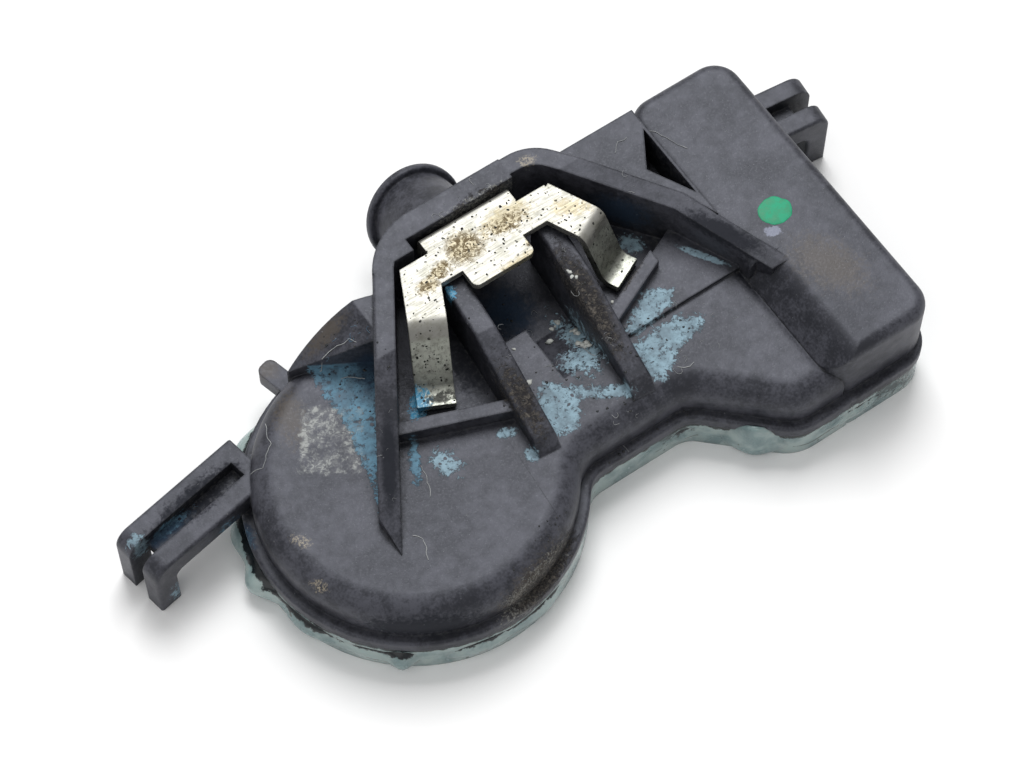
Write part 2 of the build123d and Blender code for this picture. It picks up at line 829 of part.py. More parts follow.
def antenna_loop(radius):
    """Round wire that leaves the board, runs along the block and comes back down."""
    crown = board_top + antenna_height
    with BuildPart() as loop:
        with BuildLine(Plane.YZ.offset(board_right - antenna_inset)):
            FilletPolyline(
                (antenna_front, board_top),
                (antenna_front, crown),
                (antenna_rear, crown),
                (antenna_rear, board_top),
                radius=antenna_bend,
            )
        with BuildSketch(Plane.XY.offset(board_top)):
            with Locations((board_right - antenna_inset, antenna_front)):
                Circle(radius)
        sweep()
    return loop.part


rf_antenna = antenna_loop(antenna_wire)
rf_antenna.label = "rf_antenna"

# Crystal can
with BuildPart() as crystal:
    with BuildSketch(Plane.XY.offset(board_top)):
        with Locations((crystal_x, passive_y)):
            Rectangle(crystal_length, crystal_width)
    extrude(amount=crystal_height)
crystal.part.label = "crystal"


def soldered_row(start, count, length, width, height):
    """A row of like chip parts along the board's strip."""
    with BuildPart() as row:
        with BuildSketch(Plane.XY.offset(board_top)):
            with Locations(*[(start[0] + step * part_pitch, start[1]) for step in range(count)]):
                Rectangle(width, length)
        extrude(amount=height)
    return row.part


capacitors = soldered_row(
    (passive_x, passive_y), capacitor_count, chip_part_length, chip_part_width, capacitor_height
)
resistors = soldered_row(
    (passive_x, passive_rear_y), resistor_count, chip_part_length, chip_part_width, resistor_height
)
inductors = soldered_row(
    (inductor_x, passive_rear_y), inductor_count, inductor_side, inductor_side, inductor_height
)
capacitors.label = "capacitors"
resistors.label = "resistors"
inductors.label = "inductors"

# Gel poured over the works, standing proud under the flange
gel_room = room_for_works(gel_gap, 0)
antenna_room = antenna_loop(antenna_wire + gel_gap)
with BuildPart() as potting_gel:
    with BuildSketch():
        add(wall_plan.sketch)
        offset(amount=flange_width - gel_inset, mode=Mode.REPLACE)
    extrude(amount=rim_height)
    with BuildSketch(Plane.XY.offset(skirt_bottom - gel_gap)):
        add(wall_plan.sketch)
        offset(amount=gel_gap, mode=Mode.REPLACE)
    extrude(amount=rim_height, mode=Mode.SUBTRACT)
    add(gel_room)
    with BuildSketch(Plane.XY.offset(cell_bottom)):
        Circle(cell_diameter / 2 + gel_gap)
    extrude(amount=cell_thickness, mode=Mode.SUBTRACT)
    with BuildSketch():
        with Locations((board_middle_x, chip_y)):
            Circle(seal_radius + gel_gap)
    extrude(amount=chip_bottom, mode=Mode.SUBTRACT)
    with BuildSketch(Plane.XY.offset(board_top)):
        with Locations((board_middle_x, coil_y)):
            Rectangle(coil_section, coil_length)
    extrude(amount=coil_section, mode=Mode.SUBTRACT)
    with BuildSketch(Plane.XY.offset(chip_bottom)):
        with Locations((board_middle_x, chip_y)):
            Rectangle(chip_side, chip_side)
    extrude(amount=chip_height, mode=Mode.SUBTRACT)
    for held in (cell_tab_positive, cell_tab_negative, circuit_board, crystal):
        add(held.part, mode=Mode.SUBTRACT)
    for held in (capacitors, resistors, inductors, antenna_room):
        add(held, mode=Mode.SUBTRACT)
    # Room for the valve collar
    with BuildSketch(valve_plane.offset(collar_thickness / 2 + gel_inset)):
        Circle(collar_radius + gel_inset)
    extrude(amount=-collar_thickness - 2 * gel_inset, mode=Mode.SUBTRACT)
    with BuildSketch(valve_plane):
        Circle(neck_radius + gel_inset)
    extrude(amount=-neck_length, mode=Mode.SUBTRACT)
potting_gel.part.label = "potting_gel"

os.makedirs("parts", exist_ok=True)
pieces = (
    housing.part,
    retaining_clip.part,
    potting_gel.part,
    coin_cell.part,
    cell_tab_positive.part,
    cell_tab_negative.part,
    circuit_board.part,
    sensor_chip.part,
    port_seal.part,
    lf_coil_core.part,
    lf_coil_winding.part,
    rf_antenna,
    crystal.part,
    capacitors,
    resistors,
    inductors,
)
for piece in pieces:
    export_step(piece, f"parts/{piece.label}.step")
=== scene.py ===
import bmesh
import bpy
import math
import random
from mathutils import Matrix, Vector, noise
from mathutils.bvhtree import BVHTree


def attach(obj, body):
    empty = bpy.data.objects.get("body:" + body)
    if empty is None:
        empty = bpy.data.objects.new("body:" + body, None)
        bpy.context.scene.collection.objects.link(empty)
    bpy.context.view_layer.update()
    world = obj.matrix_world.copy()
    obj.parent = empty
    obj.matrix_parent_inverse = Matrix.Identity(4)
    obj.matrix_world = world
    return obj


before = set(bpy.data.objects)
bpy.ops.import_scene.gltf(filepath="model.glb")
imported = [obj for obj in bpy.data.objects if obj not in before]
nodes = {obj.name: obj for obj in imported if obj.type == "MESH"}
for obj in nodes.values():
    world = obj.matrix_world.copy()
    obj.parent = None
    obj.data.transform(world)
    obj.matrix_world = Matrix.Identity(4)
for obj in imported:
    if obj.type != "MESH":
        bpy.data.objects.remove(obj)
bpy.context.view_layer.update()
scene = bpy.context.scene
mm = 0.001
print("frame loaded,", len(nodes), "nodes")


# node helpers, which work in the tree that was begun last
current = {"tree": None}


def feed(node, inputs):
    for socket, value in inputs.items():
        plug = node.inputs[socket]
        if isinstance(value, bpy.types.NodeSocket):
            node.id_data.links.new(value, plug)
        else:
            plug.default_value = (*value, 1) if plug.type == "RGBA" else value


def addNode(kind, inputs=None, **settings):
    node = current["tree"].nodes.new(kind)
    for name, value in settings.items():
        setattr(node, name, value)
    feed(node, inputs or {})
    return node.outputs


def calc(operation, a, b=0.0):
    return addNode("ShaderNodeMath", {0: a, 1: b}, operation=operation)[0]


def chain(operation, values):
    total = values[0]
    for value in values[1:]:
        total = calc(operation, total, value)
    return total


def plus(*values):
    return chain("ADD", values)


def times(*values):
    return chain("MULTIPLY", values)


def largest(*values):
    return chain("MAXIMUM", values)


def minus(a, b):
    return calc("SUBTRACT", a, b)


def invert(value):
    return calc("SUBTRACT", 1.0, value)


def blend(values, shares):
    return plus(*[times(value, share) for value, share in zip(values, shares)])


def vecCalc(operation, a, b=(0, 0, 0), out=0):
    return addNode("ShaderNodeVectorMath", {0: a, 1: b}, operation=operation)[out]


def spinFlat(place, angle, centre=(0, 0, 0)):
    ins = {"Vector": place, "Center": centre, "Angle": angle}
    return addNode("ShaderNodeVectorRotate", ins, rotation_type="Z_AXIS")[0]


def heightOf(place):
    return addNode("ShaderNodeSeparateXYZ", {0: place})[2]


def remap(value, low, high, toLow=0.0, toHigh=1.0):
    ends = {0: value, 1: low, 2: high, 3: toLow, 4: toHigh}
    return addNode("ShaderNodeMapRange", ends, interpolation_type="SMOOTHSTEP")[0]


def mixColour(mask, under, over):
    return addNode("ShaderNodeMix", {0: mask, 6: under, 7: over}, data_type="RGBA")[2]


def mixValue(mask, under, over):
    return addNode("ShaderNodeMix", {0: mask, 2: under, 3: over}, data_type="FLOAT")[0]


def noiseFac(place, scale, detail=3.0, rough=0.55, distort=0.0):
    ins = {"Vector": place, "Scale": scale, "Detail": detail, "Roughness": rough, "Distortion": distort}
    return addNode("ShaderNodeTexNoise", ins)[0]


def blotch(place, look):
    texture, cut = look
    return remap(noiseFac(place, *texture), *cut)


def coat(under, mask, layer):
    tone, share = layer
    return mixColour(times(mask, share), under, tone)


def bumpNormal(look, height, normal=None):
    strength, depth = look
    ins = {"Strength": strength, "Distance": depth * mm, "Height": height}
    if normal is not None:
        ins["Normal"] = normal
    return addNode("ShaderNodeBump", ins)[0]


def shaderGroup(name, ins, outs):
    group = current["tree"] = bpy.data.node_groups.new(name, "ShaderNodeTree")
    for label, value in ins.items():
        kind = "NodeSocketFloat" if isinstance(value, float) else "NodeSocketVector"
        group.interface.new_socket(label, in_out="INPUT", socket_type=kind).default_value = value
    for label, kind in outs.items():
        group.interface.new_socket(label, in_out="OUTPUT", socket_type="NodeSocket" + kind)
    return group, group.nodes.new("NodeGroupInput").outputs, group.nodes.new("NodeGroupOutput")


def useGroup(group, **inputs):
    ins = {label.capitalize(): value for label, value in inputs.items()}
    return addNode("ShaderNodeGroup", ins, node_tree=group)


def newMaterial(name):
    material = bpy.data.materials.new(name)
    material.use_nodes = True
    tree = current["tree"] = material.node_tree
    coords = addNode("ShaderNodeTexCoord")["Object"]
    place = addNode("ShaderNodeMapping", {"Vector": coords, "Scale": (1000, 1000, 1000)})
    return material, tree.nodes["Principled BSDF"], place[0]  # place counts in millimetres


# In all looks below, noise is scale, detail, roughness; a blotch is noise and its cut; a layer is colour and
# share; an area is grit, soft edge and zones; a zone is centre, reach, turn and raggedness in millimetres.
grainLook = {
    "fine": (4.0, 0.6),
    "cloud": (1.1, 5.0, 0.65),
    "broad": (0.17, 3.0, 0.6),
    "poreScale": 0.7,
    "pits": (0.0, 0.22),
    "toneShares": (0.35, 0.35, 0.3),
    "heightShares": (0.7, 0.3),
}


def makeGrain():
    ins = {"Place": (0, 0, 0), "Scale": 4.0}
    tree, ins, outs = shaderGroup("mouldGrain", ins, {"Tone": "Float", "Height": "Float"})
    place, scale = ins["Place"], ins["Scale"]
    fine = noiseFac(place, scale, *grainLook["fine"])
    cloud = noiseFac(place, *grainLook["cloud"])
    broad = noiseFac(place, *grainLook["broad"])
    poreScale = times(scale, grainLook["poreScale"])
    pores = addNode("ShaderNodeTexVoronoi", {"Vector": place, "Scale": poreScale})
    pits = remap(pores["Distance"], *grainLook["pits"])
    tone = blend((broad, cloud, fine), grainLook["toneShares"])
    height = blend((fine, pits), grainLook["heightShares"])
    feed(outs, {"Tone": tone, "Height": height})
    return tree


# a soft zone, used for stains and for painted shade
def makeStainAndShadeZone():
    places = {"Place": (0, 0, 0), "Centre": (0, 0, 0), "Reach": (1, 1, 1)}
    ins = {**places, "Turn": 0.0, "Ragged": 0.0, "Edge": 0.25}
    tree, ins, outs = shaderGroup("stainZone", ins, {"Mask": "Float"})
    away = vecCalc("SUBTRACT", ins["Place"], ins["Centre"])
    spun = spinFlat(away, times(ins["Turn"], -1.0))
    radius = vecCalc("LENGTH", vecCalc("DIVIDE", spun, ins["Reach"]), out=1)
    outside = remap(plus(radius, ins["Ragged"]), invert(ins["Edge"]), 1.0)
    feed(outs, {"Mask": invert(outside)})
    return tree


speckLook = {"bendScale": 2.5, "bendDetail": 3.0, "bend": (0.3, 0.3, 0.3), "edge": (0.0, 0.05)}


def makeSpecks():
    # round specks of mixed size, some cells left empty
    ins = {"Place": (0, 0, 0), "Scale": 1.6, "Share": 0.4, "Size": 0.3}
    tree, ins, outs = shaderGroup("looseSpecks", ins, {"Mask": "Float"})
    bending = {"Vector": ins["Place"], "Scale": speckLook["bendScale"], "Detail": speckLook["bendDetail"]}
    bent = addNode("ShaderNodeTexNoise", bending)[1]
    shifted = vecCalc("ADD", ins["Place"], vecCalc("MULTIPLY", bent, speckLook["bend"]))
    cells = addNode("ShaderNodeTexVoronoi", {"Vector": shifted, "Scale": ins["Scale"]})
    draw = addNode("ShaderNodeSeparateColor", {0: cells["Color"]})[0]
    room = minus(draw, invert(ins["Share"]))
    radius = times(calc("DIVIDE", room, ins["Share"]), ins["Size"])
    inside = minus(radius, cells["Distance"])
    feed(outs, {"Mask": remap(inside, *speckLook["edge"])})
    return tree


lineLook = {
    "wave": (2.0, 0.5, 0.9),
    "line": (0.5, 1.0),
    "breakScale": 0.9,
    "breaks": (1.0, 0.5),
    "gap": (-0.02, 0.02),
}


def makeSquiggles():
    # thin wandering lines, broken into short pieces
    ins = {"Place": (0, 0, 0), "Scale": 0.8, "Width": 0.03, "Cover": 0.45}
    tree, ins, outs = shaderGroup("squiggleLines", ins, {"Mask": "Float"})
    wave = noiseFac(ins["Place"], ins["Scale"], *lineLook["wave"])
    off = calc("ABSOLUTE", minus(wave, 0.5))
    line = invert(remap(calc("DIVIDE", off, ins["Width"]), *lineLook["line"]))
    breakScale = times(ins["Scale"], lineLook["breakScale"])
    breaks = noiseFac(ins["Place"], breakScale, *lineLook["breaks"])
    kept = remap(minus(breaks, invert(ins["Cover"])), *lineLook["gap"])
    feed(outs, {"Mask": times(line, kept)})
    return tree


wearLook = {"samples": 4, "bare": (0.01, 0.16), "broken": ((2.2, 4.0, 0.65), (0.42, 0.6))}


def makeEdgeWear():
    ins = {"Place": (0, 0, 0), "Radius": 0.2 * mm}
    tree, ins, outs = shaderGroup("edgeWear", ins, {"Mask": "Float", "Normal": "Vector"})
    soft = addNode("ShaderNodeBevel", {"Radius": ins["Radius"]}, samples=wearLook["samples"])[0]
    flat = addNode("ShaderNodeNewGeometry")["Normal"]
    facing = vecCalc("DOT_PRODUCT", soft, flat, out=1)
    bare = remap(invert(facing), *wearLook["bare"])
    mask = times(bare, blotch(ins["Place"], wearLook["broken"]))
    feed(outs, {"Mask": mask, "Normal": soft})
    return tree


hollowLook = {
    "samples": 6,
    "clumps": ((2.6, 5.0, 0.7), (0.5, 0.66)),
    "deep": (0.2, 0.75),
    "dusty": (0.25, 0.7),
}


# Depth marks the hollows by ambient occlusion, for painted shade; Dust is real dust gathered in the corners
def makeHollow():
    ins = {"Place": (0, 0, 0), "Depth": 2.4 * mm}
    tree, ins, outs = shaderGroup("hollowDirt", ins, {"Depth": "Float", "Dust": "Float"})
    shade = addNode("ShaderNodeAmbientOcclusion", {"Distance": ins["Depth"]}, samples=hollowLook["samples"])
    corner = invert(shade["AO"])
    clumps = blotch(ins["Place"], hollowLook["clumps"])
    dust = times(remap(corner, *hollowLook["dusty"]), clumps)
    feed(outs, {"Depth": remap(corner, *hollowLook["deep"]), "Dust": dust})
    return tree


mouldGrain = makeGrain()
stainZone = makeStainAndShadeZone()
looseSpecks = makeSpecks()
squiggleLines = makeSquiggles()
edgeWear = makeEdgeWear()
hollowDirt = makeHollow()


# charcoal moulding
plastic = {
    "dark": (0.014, 0.0145, 0.019),
    "light": (0.056, 0.057, 0.070),
    "tones": (0.42, 0.59),
    "grain": 5.0,
    # painted shade: the colour laid into hollows by their depth
    "hollowShade": ((0.0035, 0.0045, 0.0075), 0.9),
    "edge": ((0.085, 0.087, 0.094), 0.5),
    "wearRadius": 0.22,
    "dust": ((0.10, 0.10, 0.095), 0.5),
    "fleck": (0.16, 0.165, 0.17),
    "fleckShare": 0.6,
    "specks": {"scale": 2.0, "share": 0.35, "size": 0.14},
    "holes": {"scale": 1.7, "share": 0.55, "size": 0.3},
    "torn": ((2.4, 7.0, 0.78), (0.55, 0.60, 0.0, 0.85)),
    "shade": ((1.0, 5.0, 0.7), (0.36, 0.66, 1.0, 0.5)),
    "broken": ((5.5, 5.0, 0.7), (0.44, 0.58)),
    "frost": ((0.40, 0.56, 0.64), 0.5),
    # painted shade: a dark line laid along a crease in the deck
    "creaseShade": (0.004, 0.005, 0.007),
    "creaseShadeArea": (2.0, 0.4, [((6.55, -5.4, 7.2), (0.05, 4.9, 0.6), -4.0, 0.05)]),
    "sheen": (0.84, 0.87, 0.97),
    "satin": (0.36, 0.74, 0.33, 0.52),
    "powderRough": 0.9,
    "filmHeight": 1.2,
    "bump": (0.8, 0.022),
}
# its stains and painted shade: colour, amount, grit, soft edge, zones, and plan outlines of sheets on the
# deck
stainsAndShade = {
    "brown": ((0.07, 0.056, 0.04), 0.75, 3.4, 0.75, [
        ((34.2, -4.6, 9.6), (2.7, 4.4, 1.4), 20, 0.5), ((-5.4, 8.4, 7.2), (1.6, 3.2, 1.4), -20, 0.6),
        ((0.6, 11.6, 9.4), (4.4, 1.1, 2.2), 0, 0.5), ((-3.9, 14.1, 4.2), (1.3, 1.3, 1.4), 0, 0.4),
        ((21.6, 3.6, 8.5), (2.6, 0.7, 0.9), 24, 0.5), ((2.6, -11.6, 5.0), (5.4, 1.7, 2.2), 22, 0.6),
    ]),
    "navy": ((0.01, 0.026, 0.052), 0.9, 1.8, 0.8, [
        ((2.0, 8.6, 7.8), (2.4, 4.4, 2.4), -32, 0.25), ((24.4, 8.6, 8.4), (2.0, 3.4, 2.6), 32, 0.4),
        ((-12.6, 4.2, 3.8), (0.9, 2.4, 1.2), 0, 0.5), ((-17.6, 6.6, 4.6), (3.6, 0.9, 0.8), 10.6, 0.4),
        ((13.0, 11.6, 6.0), (3.4, 2.2, 2.0), 0, 0.4), ((13.6, 8.0, 4.6), (3.0, 3.6, 1.8), 0, 0.3),
    ]),
    "film": ((0.285, 0.415, 0.49), 0.95, 2.2, 0.3, [
        ((2.0, -1.2, 7.2), (0.9, 1.3, 1.0), 20, 0.95), ((7.0, -1.7, 7.2), (0.9, 0.45, 1.0), -20, 0.6),
        ((7.5, -4.2, 7.2), (0.5, 0.8, 1.0), 0, 0.6), ((16.0, -3.7, 7.2), (1.3, 0.6, 1.0), -33, 0.7),
        ((23.0, -2.2, 7.3), (1.8, 0.8, 1.0), 8, 0.85), ((27.6, 2.2, 7.6), (0.35, 2.2, 1.2), 32, 0.4),
        ((24.3, 6.8, 6.4), (0.9, 1.2, 1.2), 30, 0.6), ((-19.7, 6.9, 4.9), (0.9, 0.7, 1.6), 10.6, 0.6),
        ((-18.9, 4.5, 1.6), (1.1, 1.0, 1.7), 0, 0.6), ((16.8, 9.2, 10.4), (0.6, 0.7, 0.7), 0, 0.5),
        ((15.3, 0.5, 6.6), (1.8, 1.8, 1.6), -20, 0.9), ((16.4, 3.6, 5.6), (0.9, 2.8, 1.6), 0, 0.9),
    ], [
        [(10.3, -0.6), (9.5, -4.0), (11.6, -4.4), (13.2, -2.6), (13.2, -1.2), (11.6, 0.3)],
        [(12.8, -2.4), (15.6, -3.8), (16.6, -3.4), (13.0, -1.0)],
        [(19.0, 0.2), (19.4, -0.5), (23.3, -0.1), (24.2, 1.1), (22.5, 2.2), (20.4, 1.3)],
        [(18.6, -0.8), (18.4, -4.0), (19.2, -4.8), (23.3, -2.2), (23.6, -0.7)],
    ]),
    "blue": ((0.135, 0.275, 0.375), 0.95, 1.9, 0.35, [
        ((2.3, 3.2, 7.6), (0.6, 1.4, 1.4), -32, 0.5), ((0.2, 0.2, 7.3), (0.45, 2.0, 1.0), -30, 0.8),
        ((-17.0, 6.85, 4.9), (1.9, 0.45, 0.7), 10.6, 0.5), ((-13.3, 3.6, 4.2), (1.2, 1.5, 1.6), 0, 0.6),
    ], [
        [(-2.2, 11.3), (-2.5, 5.6), (-0.2, 4.6), (2.7, 8.9), (1.8, 10.6)],
        [(-2.5, 5.8), (-3.5, 0.1), (-2.2, 1.0), (0.0, 4.8)],
        [(-3.4, 0.4), (-4.7, -2.7), (-4.1, -2.4), (-2.2, 1.0)],
    ]),
    "cyan": ((0.055, 0.3, 0.5), 0.95, 3.0, 0.3, [
        ((3.0, 4.2, 6.6), (0.8, 1.6, 1.5), -32, 0.4), ((9.2, 8.8, 10.2), (0.6, 0.6, 0.9), 0, 0.6),
    ]),
    "pale": ((0.25, 0.25, 0.225), 0.75, 5.0, 0.3, [
        ((4.4, 12.6, 9.5), (0.5, 2.6, 2.2), -32, 0.5), ((15.0, 13.9, 11.0), (4.0, 0.4, 1.2), 0, 0.85),
        ((20.4, 3.2, 7.2), (0.6, 1.0, 1.2), 0, 0.8), ((2.4, -11.9, 4.6), (4.4, 1.1, 1.8), 22, 0.9),
    ]),
    "tan": ((0.36, 0.31, 0.225), 0.7, 4.4, 0.35, [
        ((19.9, 14.4, 11.9), (0.8, 0.55, 0.6), -20, 0.55), ((-10.2, -0.5, 7.0), (0.5, 1.0, 1.0), 30, 0.75),
        ((-10.9, -4.0, 6.6), (0.4, 0.75, 1.0), 30, 0.8),
    ]),
    # this entry darkens the fin, ridge and arm tops, and lays painted shade on the bay's front walls and in
    # the pockets
    "darkTopsAndShade": ((0.006, 0.007, 0.011), 0.9, 2.6, 0.5, [
        ((-0.6, 2.4, 9.2), (0.85, 10.0, 1.9), -32, 0.15), ((29.0, 1.6, 10.6), (1.3, 4.6, 1.6), 32, 0.3),
        ((8.4, 5.0, 4.6), (2.5, 3.8, 2.6), -10, 0.25), ((24.9, 9.2, 8.2), (0.9, 5.6, 2.6), 27, 0.2),
        ((-14.6, 7.1, 5.6), (5.2, 1.5, 1.5), 10.6, 0.4), ((-6.0, -10.0, 5.2), (5.6, 1.6, 1.7), -31, 0.3),
        ((3.2, -11.4, 5.2), (5.0, 1.5, 1.7), 16, 0.3),
    ]),
    "lavender": ((0.2, 0.215, 0.28), 0.9, 2.6, 0.3, [
        ((32.4, 0.0, 9.6), (0.8, 0.5, 0.5), -20, 0.5),
    ]),
}
# matted dirt on the ribs, fin edges and ledges
crust = {
    "dark": (0.012, 0.010, 0.009),
    "light": (0.165, 0.145, 0.118),
    "share": 0.85,
    "tuft": ((3.2, 6.0, 0.75, 0.8), (0.44, 0.66)),
    "height": 5.0,
    "area": (2.4, 0.6, [
        ((17.6, 3.0, 9.6), (1.2, 6.6, 2.4), -5, 0.3), ((9.0, -0.4, 8.6), (1.1, 4.4, 2.0), -5, 0.6),
        ((21.4, 3.6, 8.5), (2.8, 0.7, 1.0), 24, 0.5), ((3.4, -11.8, 4.4), (5.2, 1.2, 1.7), 25, 0.5),
        ((3.2, 8.4, 9.0), (0.5, 3.4, 2.0), -32, 0.6), ((11.0, 12.9, 11.6), (4.6, 0.5, 0.7), 20, 0.6),
        ((17.4, 13.4, 11.6), (2.6, 0.5, 0.7), -20, 0.6),
    ]),
}
# rubbed rectangle on the bay
patch = {
    "centre": (-3.9, 5.05, 7.2),
    "turn": 34.0,
    "half": (2.42, 2.85, 1.0),
    "colour": (0.30, 0.31, 0.29),
    "grit": 1.3,
    "worn": 0.5,
    "rim": (0.9, 1.0),
    "strokes": {"scale": 1.7, "width": 0.1, "cover": 0.58},
    "faint": 0.35,
    "rubbed": ((0.9, 6.0, 0.75), (0.40, 0.62)),
}
# how far stains and painted shade fray, and the heights that count as the deck
fray = {
    "noise": (7.0, 0.72, 0.5),
    "zone": 4.0,
    "sheet": 2.6,
    "sheetEdge": 0.25,
    "deck": 7.3,
    "deckBand": (0.5, 0.9),
}


def gritNoise(place, scale):
    return minus(noiseFac(place, scale, *fray["noise"]), 0.5)


def sheetMask(place, corners, ragged):
    # inside of a convex plan outline, counted left about
    sides = []
    for (ax, ay), (bx, by) in zip(corners, corners[1:] + corners[:1]):
        length = math.hypot(bx - ax, by - ay)
        inward = ((ay - by) / length, (bx - ax) / length, 0)
        sides.append(vecCalc("DOT_PRODUCT", vecCalc("SUBTRACT", place, (ax, ay, 0)), inward, out=1))
    return remap(plus(chain("MINIMUM", sides), ragged), 0.0, fray["sheetEdge"])


def zoneMask(place, grit, edge, zones, outlines=()):
    rough = gritNoise(place, grit)
    spots = []
    for centre, reach, turn, ragged in zones:
        look = {"centre": centre, "reach": reach, "turn": math.radians(turn), "edge": edge}
        ragged = times(rough, ragged * fray["zone"])
        spots.append(useGroup(stainZone, place=place, ragged=ragged, **look)[0])
    if outlines:
        off = calc("ABSOLUTE", minus(heightOf(place), fray["deck"]))
        deck = invert(remap(off, *fray["deckBand"]))
        torn = times(rough, fray["sheet"])
        for corners in outlines:
            spots.append(times(sheetMask(place, corners, torn), deck))
    return largest(*spots)


def wornPatch(place):
    # full of broken pale strokes
    spun = spinFlat(place, math.radians(patch["turn"]), patch["centre"])
    local = vecCalc("SUBTRACT", spun, patch["centre"])
    inside = vecCalc("ABSOLUTE", vecCalc("DIVIDE", local, patch["half"]))
    far = largest(*addNode("ShaderNodeSeparateXYZ", {0: inside}))
    worn = times(gritNoise(place, patch["grit"]), patch["worn"])
    square = invert(remap(plus(far, worn), *patch["rim"]))
    strokes = useGroup(squiggleLines, place=place, **patch["strokes"])[0]
    filled = times(largest(strokes, patch["faint"]), blotch(place, patch["rubbed"]))
    return times(square, filled)


def makePlastic():
    material, shader, place = newMaterial("charcoalMoulding")
    grain = useGroup(mouldGrain, place=place, scale=plastic["grain"])
    wear = useGroup(edgeWear, place=place, radius=plastic["wearRadius"] * mm)
    hollow = useGroup(hollowDirt, place=place)
    specks = useGroup(looseSpecks, place=place, **plastic["specks"])[0]
    holes = useGroup(looseSpecks, place=place, **plastic["holes"])[0]
    masks = {}
    for name, (tone, amount, *spread) in stainsAndShade.items():
        masks[name] = times(zoneMask(place, *spread), amount)
    # films are torn and full of holes
    torn = invert(blotch(place, plastic["torn"]))
    whole = times(torn, invert(holes))
    shade = blotch(place, plastic["shade"])
    broken = blotch(place, plastic["broken"])
    masks["cyan"] = times(masks["cyan"], whole)
    for name in ("film", "blue"):
        masks[name] = times(masks[name], whole, shade)
    for name in ("pale", "tan"):
        masks[name] = times(masks[name], broken)

    colour = mixColour(remap(grain["Tone"], *plastic["tones"]), plastic["dark"], plastic["light"])
    # the first of these also lays painted shade on the bay's front walls and in the pockets
    for name in ("darkTopsAndShade", "brown"):
        colour = mixColour(masks[name], colour, stainsAndShade[name][0])
    # painted shade darkens the hollows
    colour = coat(colour, hollow["Depth"], plastic["hollowShade"])
    colour = coat(colour, wear["Mask"], plastic["edge"])
    colour = coat(colour, hollow["Dust"], plastic["dust"])
    colour = mixColour(wornPatch(place), colour, patch["colour"])
    for name in ("film", "blue", "navy", "cyan", "pale", "tan", "lavender"):
        colour = mixColour(masks[name], colour, stainsAndShade[name][0])
    colour = coat(colour, times(masks["cyan"], broken), plastic["frost"])
    matted = zoneMask(place, *crust["area"])
    tuft = blotch(place, crust["tuft"])
    crusty = mixColour(tuft, crust["dark"], crust["light"])
    colour = coat(colour, matted, (crusty, crust["share"]))
    loose = times(specks, plastic["fleckShare"])
    colour = mixColour(loose, colour, plastic["fleck"])
    # painted shade along the crease in the deck
    colour = mixColour(zoneMask(place, *plastic["creaseShadeArea"]), colour, plastic["creaseShade"])

    film = largest(masks["film"], masks["blue"])
    powder = largest(film, masks["cyan"], hollow["Dust"], matted, masks["navy"], masks["darkTopsAndShade"])
    satin = remap(grain["Height"], *plastic["satin"])
    thick = times(film, plastic["filmHeight"])
    height = plus(grain["Height"], thick, times(matted, tuft, crust["height"]), loose)
    feed(shader, {
        "Base Color": colour,
        "Roughness": mixValue(powder, satin, plastic["powderRough"]),
        "Normal": bumpNormal(plastic["bump"], height, wear["Normal"]),
        "Specular Tint": plastic["sheen"],
    })
    return material


